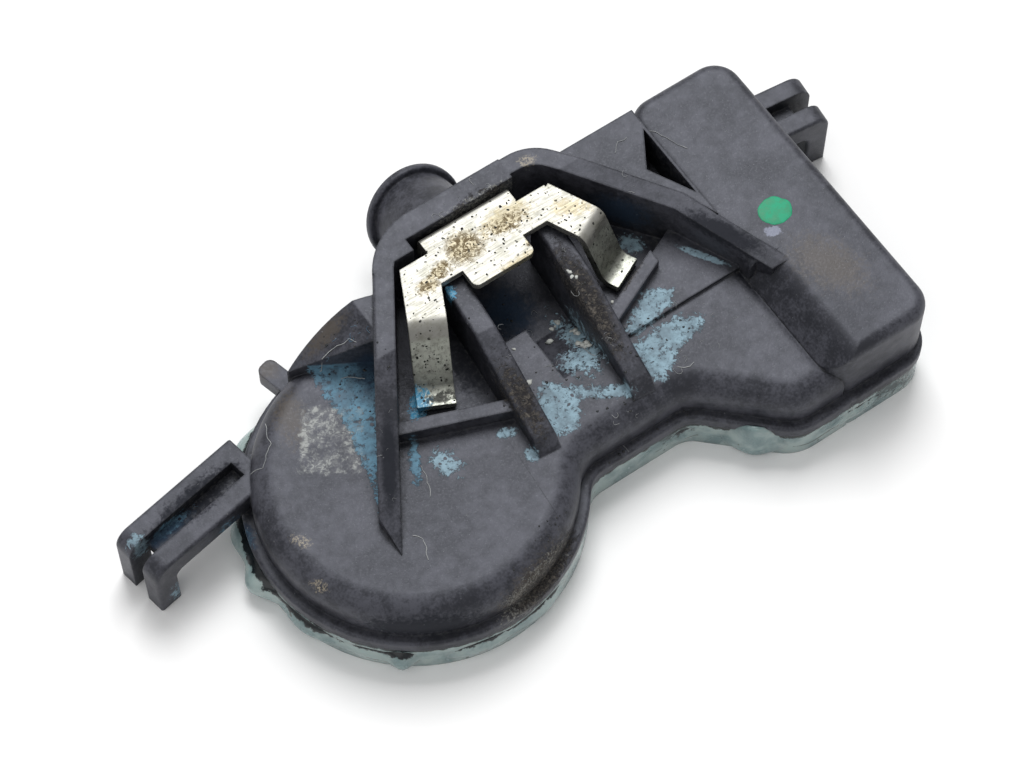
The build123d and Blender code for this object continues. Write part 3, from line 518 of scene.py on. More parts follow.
# spring steel, brown scribbled stains in the middle, cyan on the left foot; the legs take a tone by height
# as painted light, and the feet painted shade at their bend
steel = {
    "bright": (0.38, 0.374, 0.345),
    "dull": (0.28, 0.275, 0.24),
    "cloudy": ((0.7, 6.0, 0.7), (0.42, 0.66)),
    "brushing": (0.8, 9.0, 3.0),
    "brushed": (1.0, 3.0, 0.6),
    # painted light: the steep legs below the bar get this tone of their own by height, standing in for how
    # light falls on them
    "leg": (0.53, 0.55, 0.485),
    "legTop": 10.6,
    "legFade": 0.4,
    "legLightPatchy": ((1.6, 6.0, 0.75), (0.36, 0.6, 0.4, 1.0)),
    "legDark": (0.17, 0.175, 0.15),
    "legDapple": ((2.4, 6.0, 0.8), (0.50, 0.62, 0.0, 0.75)),
    "haze": ((0.27, 0.232, 0.145), 0.75),
    "stain": ((0.14, 0.098, 0.042), 0.9),
    "strokes": {"scale": 2.1, "width": 0.075, "cover": 0.62},
    "fleck": ((2.6, 6.0, 0.75), (0.47, 0.60)),
    "fleckShare": 0.8,
    "cyan": (0.06, 0.29, 0.47),
    "cyanPale": (0.42, 0.60, 0.68),
    "frost": ((3.6, 4.0, 0.7), (0.52, 0.64)),
    # the speck colour also lays painted shade on the bend of each foot
    "speckAndFootShade": (0.006, 0.006, 0.006),
    "specks": {"scale": 3.2, "share": 0.95, "size": 0.38},
    "gathered": ((0.8, 5.0, 0.7), (0.42, 0.54, 0.2, 1.0)),
    "footShadeShare": 0.85,
    "wearRadius": 0.1,
    "gloss": (0.3, 0.7, 0.44, 0.56),
    "dirtyMetal": 0.5,
    "dirtyRough": 0.7,
    "bump": (0.2, 0.006),
    "stainArea": (2.4, 0.6, [
        ((11.9, 11.0, 11.5), (2.0, 1.7, 1.0), 0, 0.25), ((15.6, 10.9, 11.5), (2.2, 0.9, 1.0), 0, 0.7),
        ((9.4, 10.4, 11.5), (1.4, 0.8, 1.0), 20, 0.7), ((7.9, 9.8, 11.5), (1.2, 0.8, 1.0), 0, 0.5),
        ((16.6, 8.6, 11.4), (1.0, 0.6, 1.0), 0, 0.6),
    ]),
    "hazeArea": (2.4, 0.6, [
        ((15.8, 11.3, 11.5), (3.0, 1.4, 1.0), 0, 0.5), ((20.4, 9.4, 11.4), (1.9, 1.0, 1.2), -30, 0.6),
        ((14.6, 7.6, 11.4), (3.2, 0.7, 1.0), 0, 0.6),
    ]),
    "cyanArea": (3.2, 0.4, [
        ((3.0, 4.3, 6.8), (1.2, 1.7, 1.1), -32, 0.8),
    ]),
    # painted shade at the bend of each foot
    "footShadeArea": (2.0, 0.5, [
        ((5.0, 3.6, 6.4), (2.2, 0.7, 1.2), -21, 0.6), ((24.0, 7.0, 6.4), (1.0, 1.6, 1.0), 30, 0.7),
    ]),
}


def makeSteel():
    material, shader, place = newMaterial("springSteel")
    wear = useGroup(edgeWear, place=place, radius=steel["wearRadius"] * mm)
    brushed = noiseFac(vecCalc("MULTIPLY", place, steel["brushing"]), *steel["brushed"])
    colour = mixColour(blotch(place, steel["cloudy"]), steel["bright"], steel["dull"])
    # painted light: the legs below the bar take their own tone by height
    top = steel["legTop"]
    leg = invert(remap(heightOf(place), top - steel["legFade"], top))
    legLightPatches = times(leg, blotch(place, steel["legLightPatchy"]))
    colour = mixColour(legLightPatches, colour, steel["leg"])
    dapple = times(leg, blotch(place, steel["legDapple"]))
    colour = mixColour(dapple, colour, steel["legDark"])
    zone = zoneMask(place, *steel["stainArea"])
    hazy = largest(zone, zoneMask(place, *steel["hazeArea"]))
    colour = coat(colour, hazy, steel["haze"])
    strokes = useGroup(squiggleLines, place=place, **steel["strokes"])[0]
    fleck = times(blotch(place, steel["fleck"]), steel["fleckShare"])
    stain = times(zone, largest(strokes, fleck))
    colour = coat(colour, stain, steel["stain"])
    cyan = zoneMask(place, *steel["cyanArea"])
    frost = blotch(place, steel["frost"])
    colour = mixColour(cyan, colour, mixColour(frost, steel["cyan"], steel["cyanPale"]))
    specks = useGroup(looseSpecks, place=place, **steel["specks"])[0]
    specks = times(specks, blotch(place, steel["gathered"]))
    # painted shade at the bend of each foot, in the speck colour
    footShade = times(zoneMask(place, *steel["footShadeArea"]), steel["footShadeShare"])
    specks = largest(specks, footShade)
    colour = mixColour(specks, colour, steel["speckAndFootShade"])
    dirtAndFootShade = largest(stain, specks)
    gloss = remap(brushed, *steel["gloss"])
    feed(shader, {
        "Base Color": colour,
        "Metallic": mixValue(cyan, mixValue(dirtAndFootShade, 1.0, steel["dirtyMetal"]), 0.0),
        "Roughness": mixValue(dirtAndFootShade, gloss, steel["dirtyRough"]),
        "Normal": bumpNormal(steel["bump"], brushed, wear["Normal"]),
    })
    return material


# cloudy potting gel, with painted shade where it lies under the flange of the moulding, and a thin brown
# seam
gel = {
    "pale": (0.32, 0.395, 0.385),
    "teal": (0.145, 0.215, 0.222),
    "cloud": (0.35, 4.0, 0.6),
    "tones": (0.40, 0.68),
    # painted shade: the colour laid on the gel under the flange
    "wet": (0.006, 0.010, 0.012),
    "flangeShadeFrom": (0.45, 0.58),
    "flangeShadeAbove": 2.0,
    "drift": (0.9, 5.0, 0.65),
    "driftShare": 1.4,
    "seam": (0.045, 0.040, 0.032),
    "seamAt": 1.1,
    "seamWidth": (0.02, 0.07),
    "seamParts": ((0.3, 5.0, 0.7), (0.52, 0.56)),
    "wander": (0.3, 2.0, 0.5),
    "dirt": ((0.022, 0.032, 0.033), 0.8),
    "dirtArea": (1.6, 0.5, [
        ((35.6, -11.4, 2.0), (3.2, 2.4, 2.6), 0, 0.8), ((18.6, -7.4, 2.4), (1.6, 1.0, 1.0), 0, 0.9),
    ]),
    "specks": {"scale": 1.1, "share": 0.2, "size": 0.2},
    "speckShare": 0.7,
    "lumps": (0.9, 4.0, 0.55),
    "bump": (0.5, 0.06),
    "gloss": (0.3, 0.7, 0.12, 0.3),
    "depth": 0.5,
    "scatter": (0.9, 1.2, 1.25),
}


def makeGel():
    material, shader, place = newMaterial("pottingGel")
    cloud = noiseFac(place, *gel["cloud"])
    colour = mixColour(remap(cloud, *gel["tones"]), gel["pale"], gel["teal"])
    height = heightOf(place)
    drift = minus(noiseFac(place, *gel["drift"]), 0.5)
    # painted shade: the gel is darkened where it lies under the flange and near its top
    wet = addNode("ShaderNodeAttribute", attribute_name="wet")["Fac"]
    shadeLevel = largest(wet, minus(height, gel["flangeShadeAbove"]))
    shadeLevel = plus(shadeLevel, calc("MINIMUM", wet, 0.0), times(drift, gel["driftShare"]))
    wander = minus(noiseFac(place, *gel["wander"]), 0.5)
    off = calc("ABSOLUTE", minus(plus(height, wander), gel["seamAt"]))
    seam = invert(remap(off, *gel["seamWidth"]))
    seam = times(seam, blotch(place, gel["seamParts"]))
    colour = mixColour(seam, colour, gel["seam"])
    colour = coat(colour, zoneMask(place, *gel["dirtArea"]), gel["dirt"])
    colour = mixColour(remap(shadeLevel, *gel["flangeShadeFrom"]), colour, gel["wet"])
    specks = useGroup(looseSpecks, place=place, **gel["specks"])[0]
    colour = coat(colour, specks, (gel["seam"], gel["speckShare"]))
    feed(shader, {
        "Base Color": colour,
        "Roughness": remap(cloud, *gel["gloss"]),
        "Normal": bumpNormal(gel["bump"], noiseFac(place, *gel["lumps"])),
        "Subsurface Weight": gel["depth"],
        "Subsurface Radius": gel["scatter"],
        "Subsurface Scale": mm,
    })
    return material


# plain finishes of the loose bits and of the works inside: two tones, metallic, roughness, grain
finishes = {
    "greenPaint": ((0.003, 0.24, 0.11), (0.012, 0.335, 0.175), 0.0, 0.6, 1.6),
    "blueFluff": ((0.05, 0.13, 0.22), (0.19, 0.31, 0.41), 0.0, 0.85, 0.6),
    "paleFluff": ((0.22, 0.23, 0.24), (0.42, 0.43, 0.43), 0.0, 0.8, 0.6),
    "darkCrumb": ((0.006, 0.008, 0.011), (0.03, 0.03, 0.03), 0.0, 0.5, 2.0),
    "paleCrumb": ((0.40, 0.42, 0.40), (0.60, 0.61, 0.57), 0.0, 0.8, 1.5),
    "cellCan": ((0.55, 0.55, 0.54), (0.70, 0.70, 0.68), 1.0, 0.32, 0.8),
    "tabStrip": ((0.48, 0.46, 0.42), (0.62, 0.60, 0.55), 1.0, 0.36, 2.0),
    "boardMask": ((0.012, 0.11, 0.045), (0.03, 0.18, 0.08), 0.0, 0.4, 1.2),
    "chipCompound": ((0.014, 0.014, 0.015), (0.03, 0.03, 0.03), 0.0, 0.55, 4.0),
    "softSeal": ((0.012, 0.012, 0.012), (0.035, 0.035, 0.035), 0.0, 0.7, 4.0),
    "ferrite": ((0.03, 0.03, 0.033), (0.06, 0.058, 0.058), 0.0, 0.6, 3.0),
    "copper": ((0.55, 0.24, 0.10), (0.74, 0.38, 0.20), 1.0, 0.3, 6.0),
    "tinned": ((0.56, 0.54, 0.48), (0.72, 0.70, 0.64), 1.0, 0.34, 3.0),
    "chipCeramic": ((0.34, 0.24, 0.15), (0.48, 0.36, 0.25), 0.0, 0.5, 4.0),
}
finishLook = {
    "mottle": (4.0, 0.6),
    "tones": (0.35, 0.65),
    "gloss": (0.3, 0.7),
    "glossier": 0.08,
    "duller": 0.1,
    "grain": 3,
    "bump": (0.5, 0.015),
}


def makeFinish(name):
    first, second, metallic, roughness, scale = finishes[name]
    material, shader, place = newMaterial(name)
    roughEnds = roughness - finishLook["glossier"], roughness + finishLook["duller"]
    mottle = noiseFac(place, scale, *finishLook["mottle"])
    grain = useGroup(mouldGrain, place=place, scale=scale * finishLook["grain"])["Height"]
    feed(shader, {
        "Base Color": mixColour(remap(mottle, *finishLook["tones"]), first, second),
        "Roughness": remap(mottle, *finishLook["gloss"], *roughEnds),
        "Normal": bumpNormal(finishLook["bump"], grain),
        "Metallic": metallic,
    })
    return material


plasticMaterial = makePlastic()
steelMaterial = makeSteel()
gelMaterial = makeGel()
finishMaterials = {name: makeFinish(name) for name in finishes}
finishNodes = {
    "cellCan": ("coin_cell", "crystal"),
    "tabStrip": ("cell_tab_positive", "cell_tab_negative"),
    "boardMask": ("circuit_board",),
    "chipCompound": ("sensor_chip", "resistors"),
    "softSeal": ("port_seal",),
    "ferrite": ("lf_coil_core", "inductors"),
    "copper": ("lf_coil_winding",),
    "tinned": ("rf_antenna",),
    "chipCeramic": ("capacitors",),
}


def dressNode(name, material):
    data = nodes[name].data
    data.materials.clear()
    data.materials.append(material)


dressNode("housing", plasticMaterial)
dressNode("retaining_clip", steelMaterial)
dressNode("potting_gel", gelMaterial)
for finishName, nodeNames in finishNodes.items():
    for nodeName in nodeNames:
        dressNode(nodeName, finishMaterials[finishName])
print("materials done")


# geometry node helpers
def geo(kind, inputs=None, **settings):
    return addNode("GeometryNode" + kind, inputs, **settings)[0]


def geometryTree(name, ins):
    tree = current["tree"] = bpy.data.node_groups.new(name, "GeometryNodeTree")
    for label, kind in {"Geometry": "Geometry", **ins}.items():
        tree.interface.new_socket(label, in_out="INPUT", socket_type="NodeSocket" + kind)
    tree.interface.new_socket("Geometry", in_out="OUTPUT", socket_type="NodeSocketGeometry")
    return tree.nodes.new("NodeGroupInput").outputs, tree.nodes.new("NodeGroupOutput")


def closeTree(outs, made, finish):
    made = geo("RealizeInstances", {0: made})
    feed(outs, {0: geo("SetMaterial", {0: made, "Material": finish})})
    return current["tree"]


def runTree(obj, tree, values):
    modifier = obj.modifiers.new(tree.name, "NODES")
    modifier.node_group = tree
    for item in tree.interface.items_tree:
        if item.in_out == "INPUT" and item.name in values:
            modifier[item.identifier] = values[item.name]
    depsgraph = bpy.context.evaluated_depsgraph_get()
    made = bpy.data.meshes.new_from_object(obj.evaluated_get(depsgraph))
    obj.modifiers.clear()
    return made


def newMesh(name, verts, edges, faces):
    mesh = bpy.data.meshes.new(name)
    mesh.from_pydata(verts, edges, faces)
    return mesh


def addObject(name, data):
    obj = bpy.data.objects.new(name, data)
    scene.collection.objects.link(obj)
    return obj


def addPiece(name, mesh, body):
    obj = addObject(name, mesh)
    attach(obj, body)


def dropObject(obj):
    data = obj.data
    bpy.data.objects.remove(obj)
    bpy.data.meshes.remove(data)


# outline of a node at a height, as an ordered loop
def sliceLoop(nodeName, height):
    cut = bmesh.new()
    cut.from_mesh(nodes[nodeName].data)
    bmesh.ops.remove_doubles(cut, verts=cut.verts, dist=0.001 * mm)
    found = bmesh.ops.bisect_plane(
        cut, geom=cut.verts[:] + cut.edges[:] + cut.faces[:], plane_co=(0, 0, height), plane_no=(0, 0, 1)
    )
    edges = [e for e in found["geom_cut"] if isinstance(e, bmesh.types.BMEdge)]
    links = {}
    for edge in edges:
        for vert in edge.verts:
            links.setdefault(vert, []).append(edge)
    start = min(links, key=lambda vert: vert.co.x)
    loop, seen, vert = [start.co.copy()], {start}, start
    while True:
        ahead = [e.other_vert(vert) for e in links[vert] if e.other_vert(vert) not in seen]
        if not ahead:
            break
        vert = ahead[0]
        seen.add(vert)
        loop.append(vert.co.copy())
    cut.free()
    return loop


def evenLoop(loop, count):
    closed = loop + [loop[0]]
    spans = [(b - a).length for a, b in zip(closed, closed[1:])]
    step = sum(spans) / count
    points, index, used = [], 0, 0.0
    for number in range(count):
        target = number * step
        while used + spans[index] < target:
            used += spans[index]
            index += 1
        share = (target - used) / spans[index] if spans[index] else 0
        points.append(closed[index].lerp(closed[index + 1], share))
    return points


# gel that stands out under the flange, as a lumpy ring with bulges: place in plan, spread, growth, rise
bead = {
    "count": 520,
    "inset": 0.5,
    "middle": 1.3,
    "half": (0.32, 1.25),
    "lump": 0.12,
    "lumpScale": 0.4,
    "lumpDetail": (3.0, 0.5),
    # reach and floor of the painted shade under the flange
    "shadeReach": 1.6,
    "shadeFloor": 1.55,
    "sides": 24,
    "seed": 3.0,
    "sliceAt": 1.5,
    "facing": (-0.3, 0.4),
    "upward": (-0.2, 0.7),
    "round": 0.4,
    "smear": 0.45,
    "floor": 0.02,
    "unshadedRise": (0.2 * mm, 0.8 * mm, 0.0, 5.0),
    "swells": [
        ((-12.4, 4.6), 2.2, 1.3, 0.0), ((-13.2, 0.9), 1.5, 1.6, 0.0), ((-12.2, -3.8), 2.4, 0.7, 0.0),
        ((-9.6, -8.4), 2.4, 0.45, 0.0), ((-7.9, -10.1), 0.85, 0.8, 0.0), ((-2.6, -12.6), 3.0, 0.45, 0.0),
        ((3.0, -12.4), 2.4, 0.5, 0.0), ((-8.6, 9.6), 3.6, 1.7, 0.0), ((19.4, -7.3), 1.0, 0.5, 0.0),
        ((23.7, -10.2), 1.8, 0.35, 1.6), ((32.0, -12.6), 4.0, 0.3, 0.0),
    ],
}


def outlineMesh(name, setting, nodeName):
    count = setting["count"]
    points = evenLoop(sliceLoop(nodeName, setting["sliceAt"] * mm), count)
    area = sum(a.x * b.y - b.x * a.y for a, b in zip(points, points[1:] + points[:1]))
    side = 1 if area > 0 else -1
    places, growth, climb, ways = [], [], [], []
    for number, point in enumerate(points):
        ahead = points[(number + 2) % count] - points[number - 2]
        outward = Vector((ahead.y, -ahead.x, 0)).normalized() * side
        spot = point - outward * setting["inset"] * mm
        places.append((spot.x, spot.y, setting["middle"] * mm))
        ways.extend(outward)
        swell = rise = 0.0
        for (x, y), spread, amount, lift in setting["swells"]:
            gap = math.hypot(point.x / mm - x, point.y / mm - y) / spread
            swell += amount * math.exp(-gap * gap)
            rise += lift * math.exp(-gap * gap)
        growth.append(swell * mm)
        climb.append(rise * mm)
    mesh = newMesh(name, places, [(n, (n + 1) % count) for n in range(count)], [])
    spine = [number for spot in places for number in spot]
    for label, values in (("swell", growth), ("rise", climb)):
        mesh.attributes.new(label, "FLOAT", "POINT").data.foreach_set("value", values)
    for label, values in (("outward", ways), ("spine", spine)):
        mesh.attributes.new(label, "FLOAT_VECTOR", "POINT").data.foreach_set("vector", values)
    return mesh


def makeRingTree():
    floats = ("Wide", "Tall", "Lump", "Lump Scale", "Wet Reach", "Wet Floor", "Seed")
    kinds = {**dict.fromkeys(floats, "Float"), "Sides": "Int", "Finish": "Material"}
    ins, outs = geometryTree("lumpyRing", kinds)
    curve = geo("MeshToCurve", {0: ins["Geometry"]})
    curve = geo("SetCurveNormal", {0: curve}, mode="Z_UP")
    circle = geo("CurvePrimitiveCircle", {0: ins["Sides"], 4: 1.0})
    size = addNode("ShaderNodeCombineXYZ", {0: ins["Wide"], 1: ins["Tall"], 2: 1.0})[0]
    profile = geo("Transform", {"Geometry": circle, "Scale": size})
    tube = geo("CurveToMesh", {0: curve, 1: profile})
    place = geo("InputPosition")
    normal = geo("InputNormal")

    def stored(name, kind):
        return geo("InputNamedAttribute", {0: name}, data_type=kind)

    def along(way, amount):
        return addNode("ShaderNodeVectorMath", {0: way, "Scale": amount}, operation="SCALE")[0]

    swell, rise = stored("swell", "FLOAT"), stored("rise", "FLOAT")
    outward, spine = stored("outward", "FLOAT_VECTOR"), stored("spine", "FLOAT_VECTOR")
    # bulges swell outward, and rises climb over the flange
    facing = remap(vecCalc("DOT_PRODUCT", normal, outward, out=1), *bead["facing"])
    away = vecCalc("SUBTRACT", place, spine)
    part = calc("DIVIDE", heightOf(away), ins["Tall"])
    flat = largest(invert(times(part, part)), 0.0)
    bulge = times(calc("POWER", flat, bead["round"]), facing)
    pushed = along(outward, plus(times(swell, bulge), times(rise, bead["smear"])))
    upward = remap(vecCalc("DOT_PRODUCT", normal, (0, 0, 1), out=1), *bead["upward"])
    climbed = addNode("ShaderNodeCombineXYZ", {2: times(rise, upward)})[0]
    pushed = vecCalc("ADD", pushed, climbed)
    shift = addNode("ShaderNodeCombineXYZ", {0: ins["Seed"], 1: ins["Seed"], 2: 0.0})[0]
    counted = vecCalc("ADD", vecCalc("MULTIPLY", place, (1000, 1000, 1000)), shift)
    rough = noiseFac(counted, ins["Lump Scale"], *bead["lumpDetail"])
    lumpy = along(normal, times(minus(rough, 0.5), times(ins["Lump"], 2.0)))
    moved = vecCalc("ADD", place, vecCalc("ADD", pushed, lumpy))
    moved = vecCalc("MAXIMUM", moved, (-10, -10, bead["floor"] * mm))
    ring = geo("SetPosition", {0: tube, "Position": moved})
    # depth under the flange in millimetres, which the gel's material darkens as painted shade
    across = vecCalc("DOT_PRODUCT", away, outward, out=1)
    under = minus(ins["Wet Reach"], across)
    under = calc("MINIMUM", under, minus(heightOf(place), ins["Wet Floor"]))
    wet = times(largest(under, 0.0), 1.0 / mm)
    wet = minus(wet, remap(rise, *bead["unshadedRise"]))
    ring = geo("StoreNamedAttribute", {0: ring, "Name": "wet", "Value": wet})
    ring = geo("SetShadeSmooth", {0: ring})
    return closeTree(outs, ring, ins["Finish"])


beadPath = addObject("beadPath", outlineMesh("beadPath", bead, "potting_gel"))
beadMesh = runTree(
    beadPath,
    makeRingTree(),
    {
        "Wide": bead["half"][0] * mm,
        "Tall": bead["half"][1] * mm,
        "Lump": bead["lump"] * mm,
        "Lump Scale": bead["lumpScale"],
        "Wet Reach": bead["shadeReach"] * mm,
        "Wet Floor": bead["shadeFloor"] * mm,
        "Sides": bead["sides"],
        "Seed": bead["seed"],
        "Finish": gelMaterial,
    },
)
dropObject(beadPath)
addPiece("gelBead", beadMesh, "sensor_body")
print("gel bead:", len(beadMesh.polygons), "faces")


# fluff and crumbs that lie on the moulding
surfaceTree = BVHTree.FromObject(nodes["housing"], bpy.context.evaluated_depsgraph_get())


def surfacePoint(x, y):
    above = Vector((x * mm, y * mm, 20 * mm))
    return surfaceTree.ray_cast(above, Vector((0, 0, -1)))[0]


def waver(x, y, scale, layer):
    return noise.noise(Vector((x * scale, y * scale, layer)))


sheetStep, sheetTear = 0.22, 0.3


def drapedPatch(name, centre, half, turn):
    # a small sheet laid on whatever is under it, torn where the surface drops
    across, along = (max(2, round(2 * h / sheetStep)) for h in half)
    spin = math.radians(turn)
    grid = {}
    for i in range(across + 1):
        for j in range(along + 1):
            u, v = (2 * i / across - 1), (2 * j / along - 1)
            if u * u + v * v > 1.0:
                continue
            x = centre[0] + u * half[0] * math.cos(spin) - v * half[1] * math.sin(spin)
            y = centre[1] + u * half[0] * math.sin(spin) + v * half[1] * math.cos(spin)
            spot = surfacePoint(x, y)
            if spot:
                grid[i, j] = spot
    places = list(grid)
    number = {key: n for n, key in enumerate(places)}
    faces = []
    for i, j in places:
        corners = [(i, j), (i + 1, j), (i + 1, j + 1), (i, j + 1)]
        if all(c in grid for c in corners):
            heights = [grid[c].z for c in corners]
            if max(heights) - min(heights) < sheetTear * mm:
                faces.append([number[c] for c in corners])
    return newMesh(name, [grid[key] for key in places], [], faces)


hairLook = {
    "count": 6,
    "shortest": 0.6,
    "longer": 0.15,
    "radius": 0.015,
    "tip": 0.55,
    "curl": 2.4,
    "crook": 0.6,
    "lift": (0.02, 0.08),
    "sides": 4,
    "steps": 9,
    "seed": 40,
}


def hairMesh(number):
    # one crooked hair lying nearly flat
    draw = random.Random(hairLook["seed"] + number)
    length = (hairLook["shortest"] + hairLook["longer"] * number) * mm
    curl, crook = hairLook["curl"], hairLook["crook"]
    sides, steps = hairLook["sides"], hairLook["steps"]
    bend, lift = draw.uniform(-curl, curl), draw.uniform(*hairLook["lift"])
    spots, heading, place = [], 0.0, Vector((-length / 2, 0, 0))
    for n in range(steps + 1):
        spots.append(place + Vector((0, 0, length * lift * math.sin(math.pi * n / steps))))
        heading += bend / steps + draw.uniform(-crook, crook)
        place = place + Vector((math.cos(heading), math.sin(heading), 0)) * length / steps
    verts, faces = [], []
    for n, spot in enumerate(spots):
        ahead = (spots[min(n + 1, steps)] - spots[max(n - 1, 0)]).normalized()
        left = ahead.cross(Vector((0, 0, 1))).normalized()
        up = left.cross(ahead)
        thin = hairLook["radius"] * mm * (hairLook["tip"] if n in (0, steps) else 1.0)
        for s in range(sides):
            angle = 2 * math.pi * s / sides
            verts.append(spot + (left * math.cos(angle) + up * math.sin(angle)) * thin)
    for n in range(steps):
        for s in range(sides):
            a, b = n * sides + s, n * sides + (s + 1) % sides
            faces.append((a, b, b + sides, a + sides))
    faces.append(tuple(range(sides)))
    faces.append(tuple(reversed(range(steps * sides, (steps + 1) * sides))))
    mesh = newMesh(f"hair{number}", verts, [], faces)
    mend = bmesh.new()
    mend.from_mesh(mesh)
    bmesh.ops.recalc_face_normals(mend, faces=mend.faces)
    mend.to_mesh(mesh)
    mend.free()
    return mesh


# crumbs of two sizes: radius and first seed
crumbLook = {"count": 4, "jagged": (0.45, 1.4), "flat": 0.6, "crumb": (0.07, 60), "lump": (0.19, 80)}


def crumbMesh(name, number):
    radius, seed = crumbLook[name]
    lump = bmesh.new()
    bmesh.ops.create_icosphere(lump, subdivisions=1, radius=radius * mm)
    draw = random.Random(seed + number)
    for vert in lump.verts:
        vert.co *= draw.uniform(*crumbLook["jagged"])
        vert.co.z *= crumbLook["flat"]
    mesh = bpy.data.meshes.new(f"{name}{number}")
    lump.to_mesh(mesh)
    lump.free()
    return mesh


def kitOf(name, meshes):
    kit = bpy.data.collections.new(name)
    for mesh in meshes:
        kit.objects.link(bpy.data.objects.new(mesh.name, mesh))
    return kit


hairKit = kitOf("hairKit", [hairMesh(n) for n in range(hairLook["count"])])
crumbKit = kitOf("crumbKit", [crumbMesh("crumb", n) for n in range(crumbLook["count"])])
lumpKit = kitOf("lumpKit", [crumbMesh("lump", n) for n in range(crumbLook["count"])])


def makeScatterTree():
    kinds = {"Bits": "Collection", "Density": "Float", "Smallest": "Float", "Largest": "Float"}
    ins, outs = geometryTree("lyingBits", {**kinds, "Seed": "Int", "Finish": "Material"})

    def draw(low, high):
        ends = {2: low, 3: high, "Seed": ins["Seed"]}
        return addNode("FunctionNodeRandomValue", ends, data_type="FLOAT")[1]

    where = {"Mesh": ins["Geometry"], "Density": ins["Density"], "Seed": ins["Seed"]}
    spread = addNode("GeometryNodeDistributePointsOnFaces", where)
    bits = geo("CollectionInfo", {0: ins["Bits"], 1: True, 2: True})
    turn = addNode("FunctionNodeAxisAngleToRotation", {0: (0, 0, 1), 1: draw(0.0, 2 * math.pi)})[0]
    turns = {0: spread["Rotation"], 1: turn}
    lie = addNode("FunctionNodeRotateRotation", turns, rotation_space="LOCAL")[0]
    size = draw(ins["Smallest"], ins["Largest"])
    laid = {0: spread[0], "Instance": bits, "Pick Instance": True, "Rotation": lie, "Scale": size}
    return closeTree(outs, geo("InstanceOnPoints", laid), ins["Finish"])


# where bits lie: kit, sizes, then patches by centre, half size, turn, number per square millimetre
fluff = {
    "blueFluff": (hairKit, (0.3, 0.9), [
        ((0.4, 9.2), (1.9, 2.2), 0, 1.4), ((-1.4, 5.4), (0.7, 2.6), -30, 0.8),
        ((2.4, 3.6), (0.7, 1.4), -32, 4.0), ((-17.0, 6.7), (3.3, 0.6), 10.6, 1.8),
        ((-13.2, 3.5), (0.9, 1.2), 0, 2.0),
    ]),
    "paleFluff": (hairKit, (0.3, 1.0), [
        ((14.5, 3.0), (2.8, 5.0), 0, 0.35), ((17.7, 3.0), (0.9, 6.0), -5, 0.9),
        ((9.5, 1.5), (0.9, 5.5), -5, 0.5), ((22.5, -2.0), (5.0, 3.5), 0, 0.15),
        ((16.0, -5.8), (6.0, 1.0), 0, 0.4), ((13.0, 14.8), (6.0, 0.9), 0, 0.5),
        ((-0.5, 3.5), (0.8, 9.0), -32, 0.35), ((23.5, 7.0), (2.5, 3.0), 0, 0.4),
    ]),
    "darkCrumb": (crumbKit, (0.5, 1.8), [
        ((13.4, 2.0), (6.5, 8.0), 0, 0.6), ((0.5, 8.0), (2.2, 4.0), 0, 1.0),
        ((20.5, -1.0), (3.5, 3.0), 0, 0.8), ((16.0, -6.6), (5.0, 1.0), 0, 3.0),
        ((3.0, -11.4), (5.0, 1.5), 25, 2.5), ((11.4, 13.0), (4.4, 0.5), 18, 4.0),
        ((17.6, 3.0), (0.9, 6.0), -5, 2.0),
    ]),
    "paleCrumb": (lumpKit, (0.5, 1.7), [
        ((17.5, 5.0), (0.4, 0.7), 0, 7.0), ((16.0, 4.9), (0.6, 0.5), 0, 6.0),
        ((16.7, 3.2), (0.7, 0.7), 0, 6.0), ((14.8, 3.8), (0.35, 0.35), 0, 6.0),
        ((16.2, 1.6), (0.8, 0.8), 0, 4.0), ((17.4, 8.2), (0.4, 0.4), 0, 4.0),
        ((11.4, 3.6), (0.35, 1.4), -5, 5.0), ((10.8, 0.8), (0.3, 1.0), -5, 3.0),
        ((20.2, 3.2), (0.5, 0.9), 0, 2.0),
    ]),
}
scatterTree = makeScatterTree()


# single hairs that lie along paths in plan
strands = {
    "radius": 0.028,
    "lift": 0.03,
    "step": 0.2,
    "wobble": 0.16,
    "waves": 1.5,
    "sides": 5,
    "paths": [
        [(-7.1, 9.2), (-7.6, 8.0), (-7.8, 7.3), (-8.6, 6.6), (-9.2, 6.1), (-10.2, 6.6)],
        [(11.1, 5.7), (11.8, 5.5), (12.6, 5.1)],
        [(15.8, 2.0), (16.1, 1.2), (16.0, 0.6), (16.3, -0.2)],
        [(29.4, 12.9), (30.2, 12.2), (30.8, 10.9), (31.5, 9.3)],
        [(-1.5, 10.4), (0.0, 10.2), (0.9, 9.9), (1.2, 9.2)],
        [(-0.6, 9.0), (0.4, 8.6), (1.0, 7.8)],
        [(0.3, -0.4), (0.1, -1.6), (-0.6, -3.0)],
        [(-3.3, -4.8), (-2.9, -5.4), (-3.1, -6.2), (-3.6, -7.1)],
        [(26.2, 11.8), (27.0, 12.6), (28.0, 12.4)],
        [(20.4, -4.4), (21.4, -4.9), (22.0, -4.6)],
    ],
}


def strandPaths():
    spots, edges = [], []
    for number, path in enumerate(strands["paths"]):
        first = len(spots)
        for (ax, ay), (bx, by) in zip(path, path[1:]):
            steps = max(2, round(math.hypot(bx - ax, by - ay) / strands["step"]))
            for step in range(steps):
                share = step / steps
                x, y = ax + (bx - ax) * share, ay + (by - ay) * share
                x += strands["wobble"] * waver(x, y, strands["waves"], number)
                y += strands["wobble"] * waver(x, y, strands["waves"], number + 9.5)
                spot = surfacePoint(x, y)
                spots.append((spot.x, spot.y, spot.z + strands["lift"] * mm))
        edges.extend((n, n + 1) for n in range(first, len(spots) - 1))
    return newMesh("strandPaths", spots, edges, [])


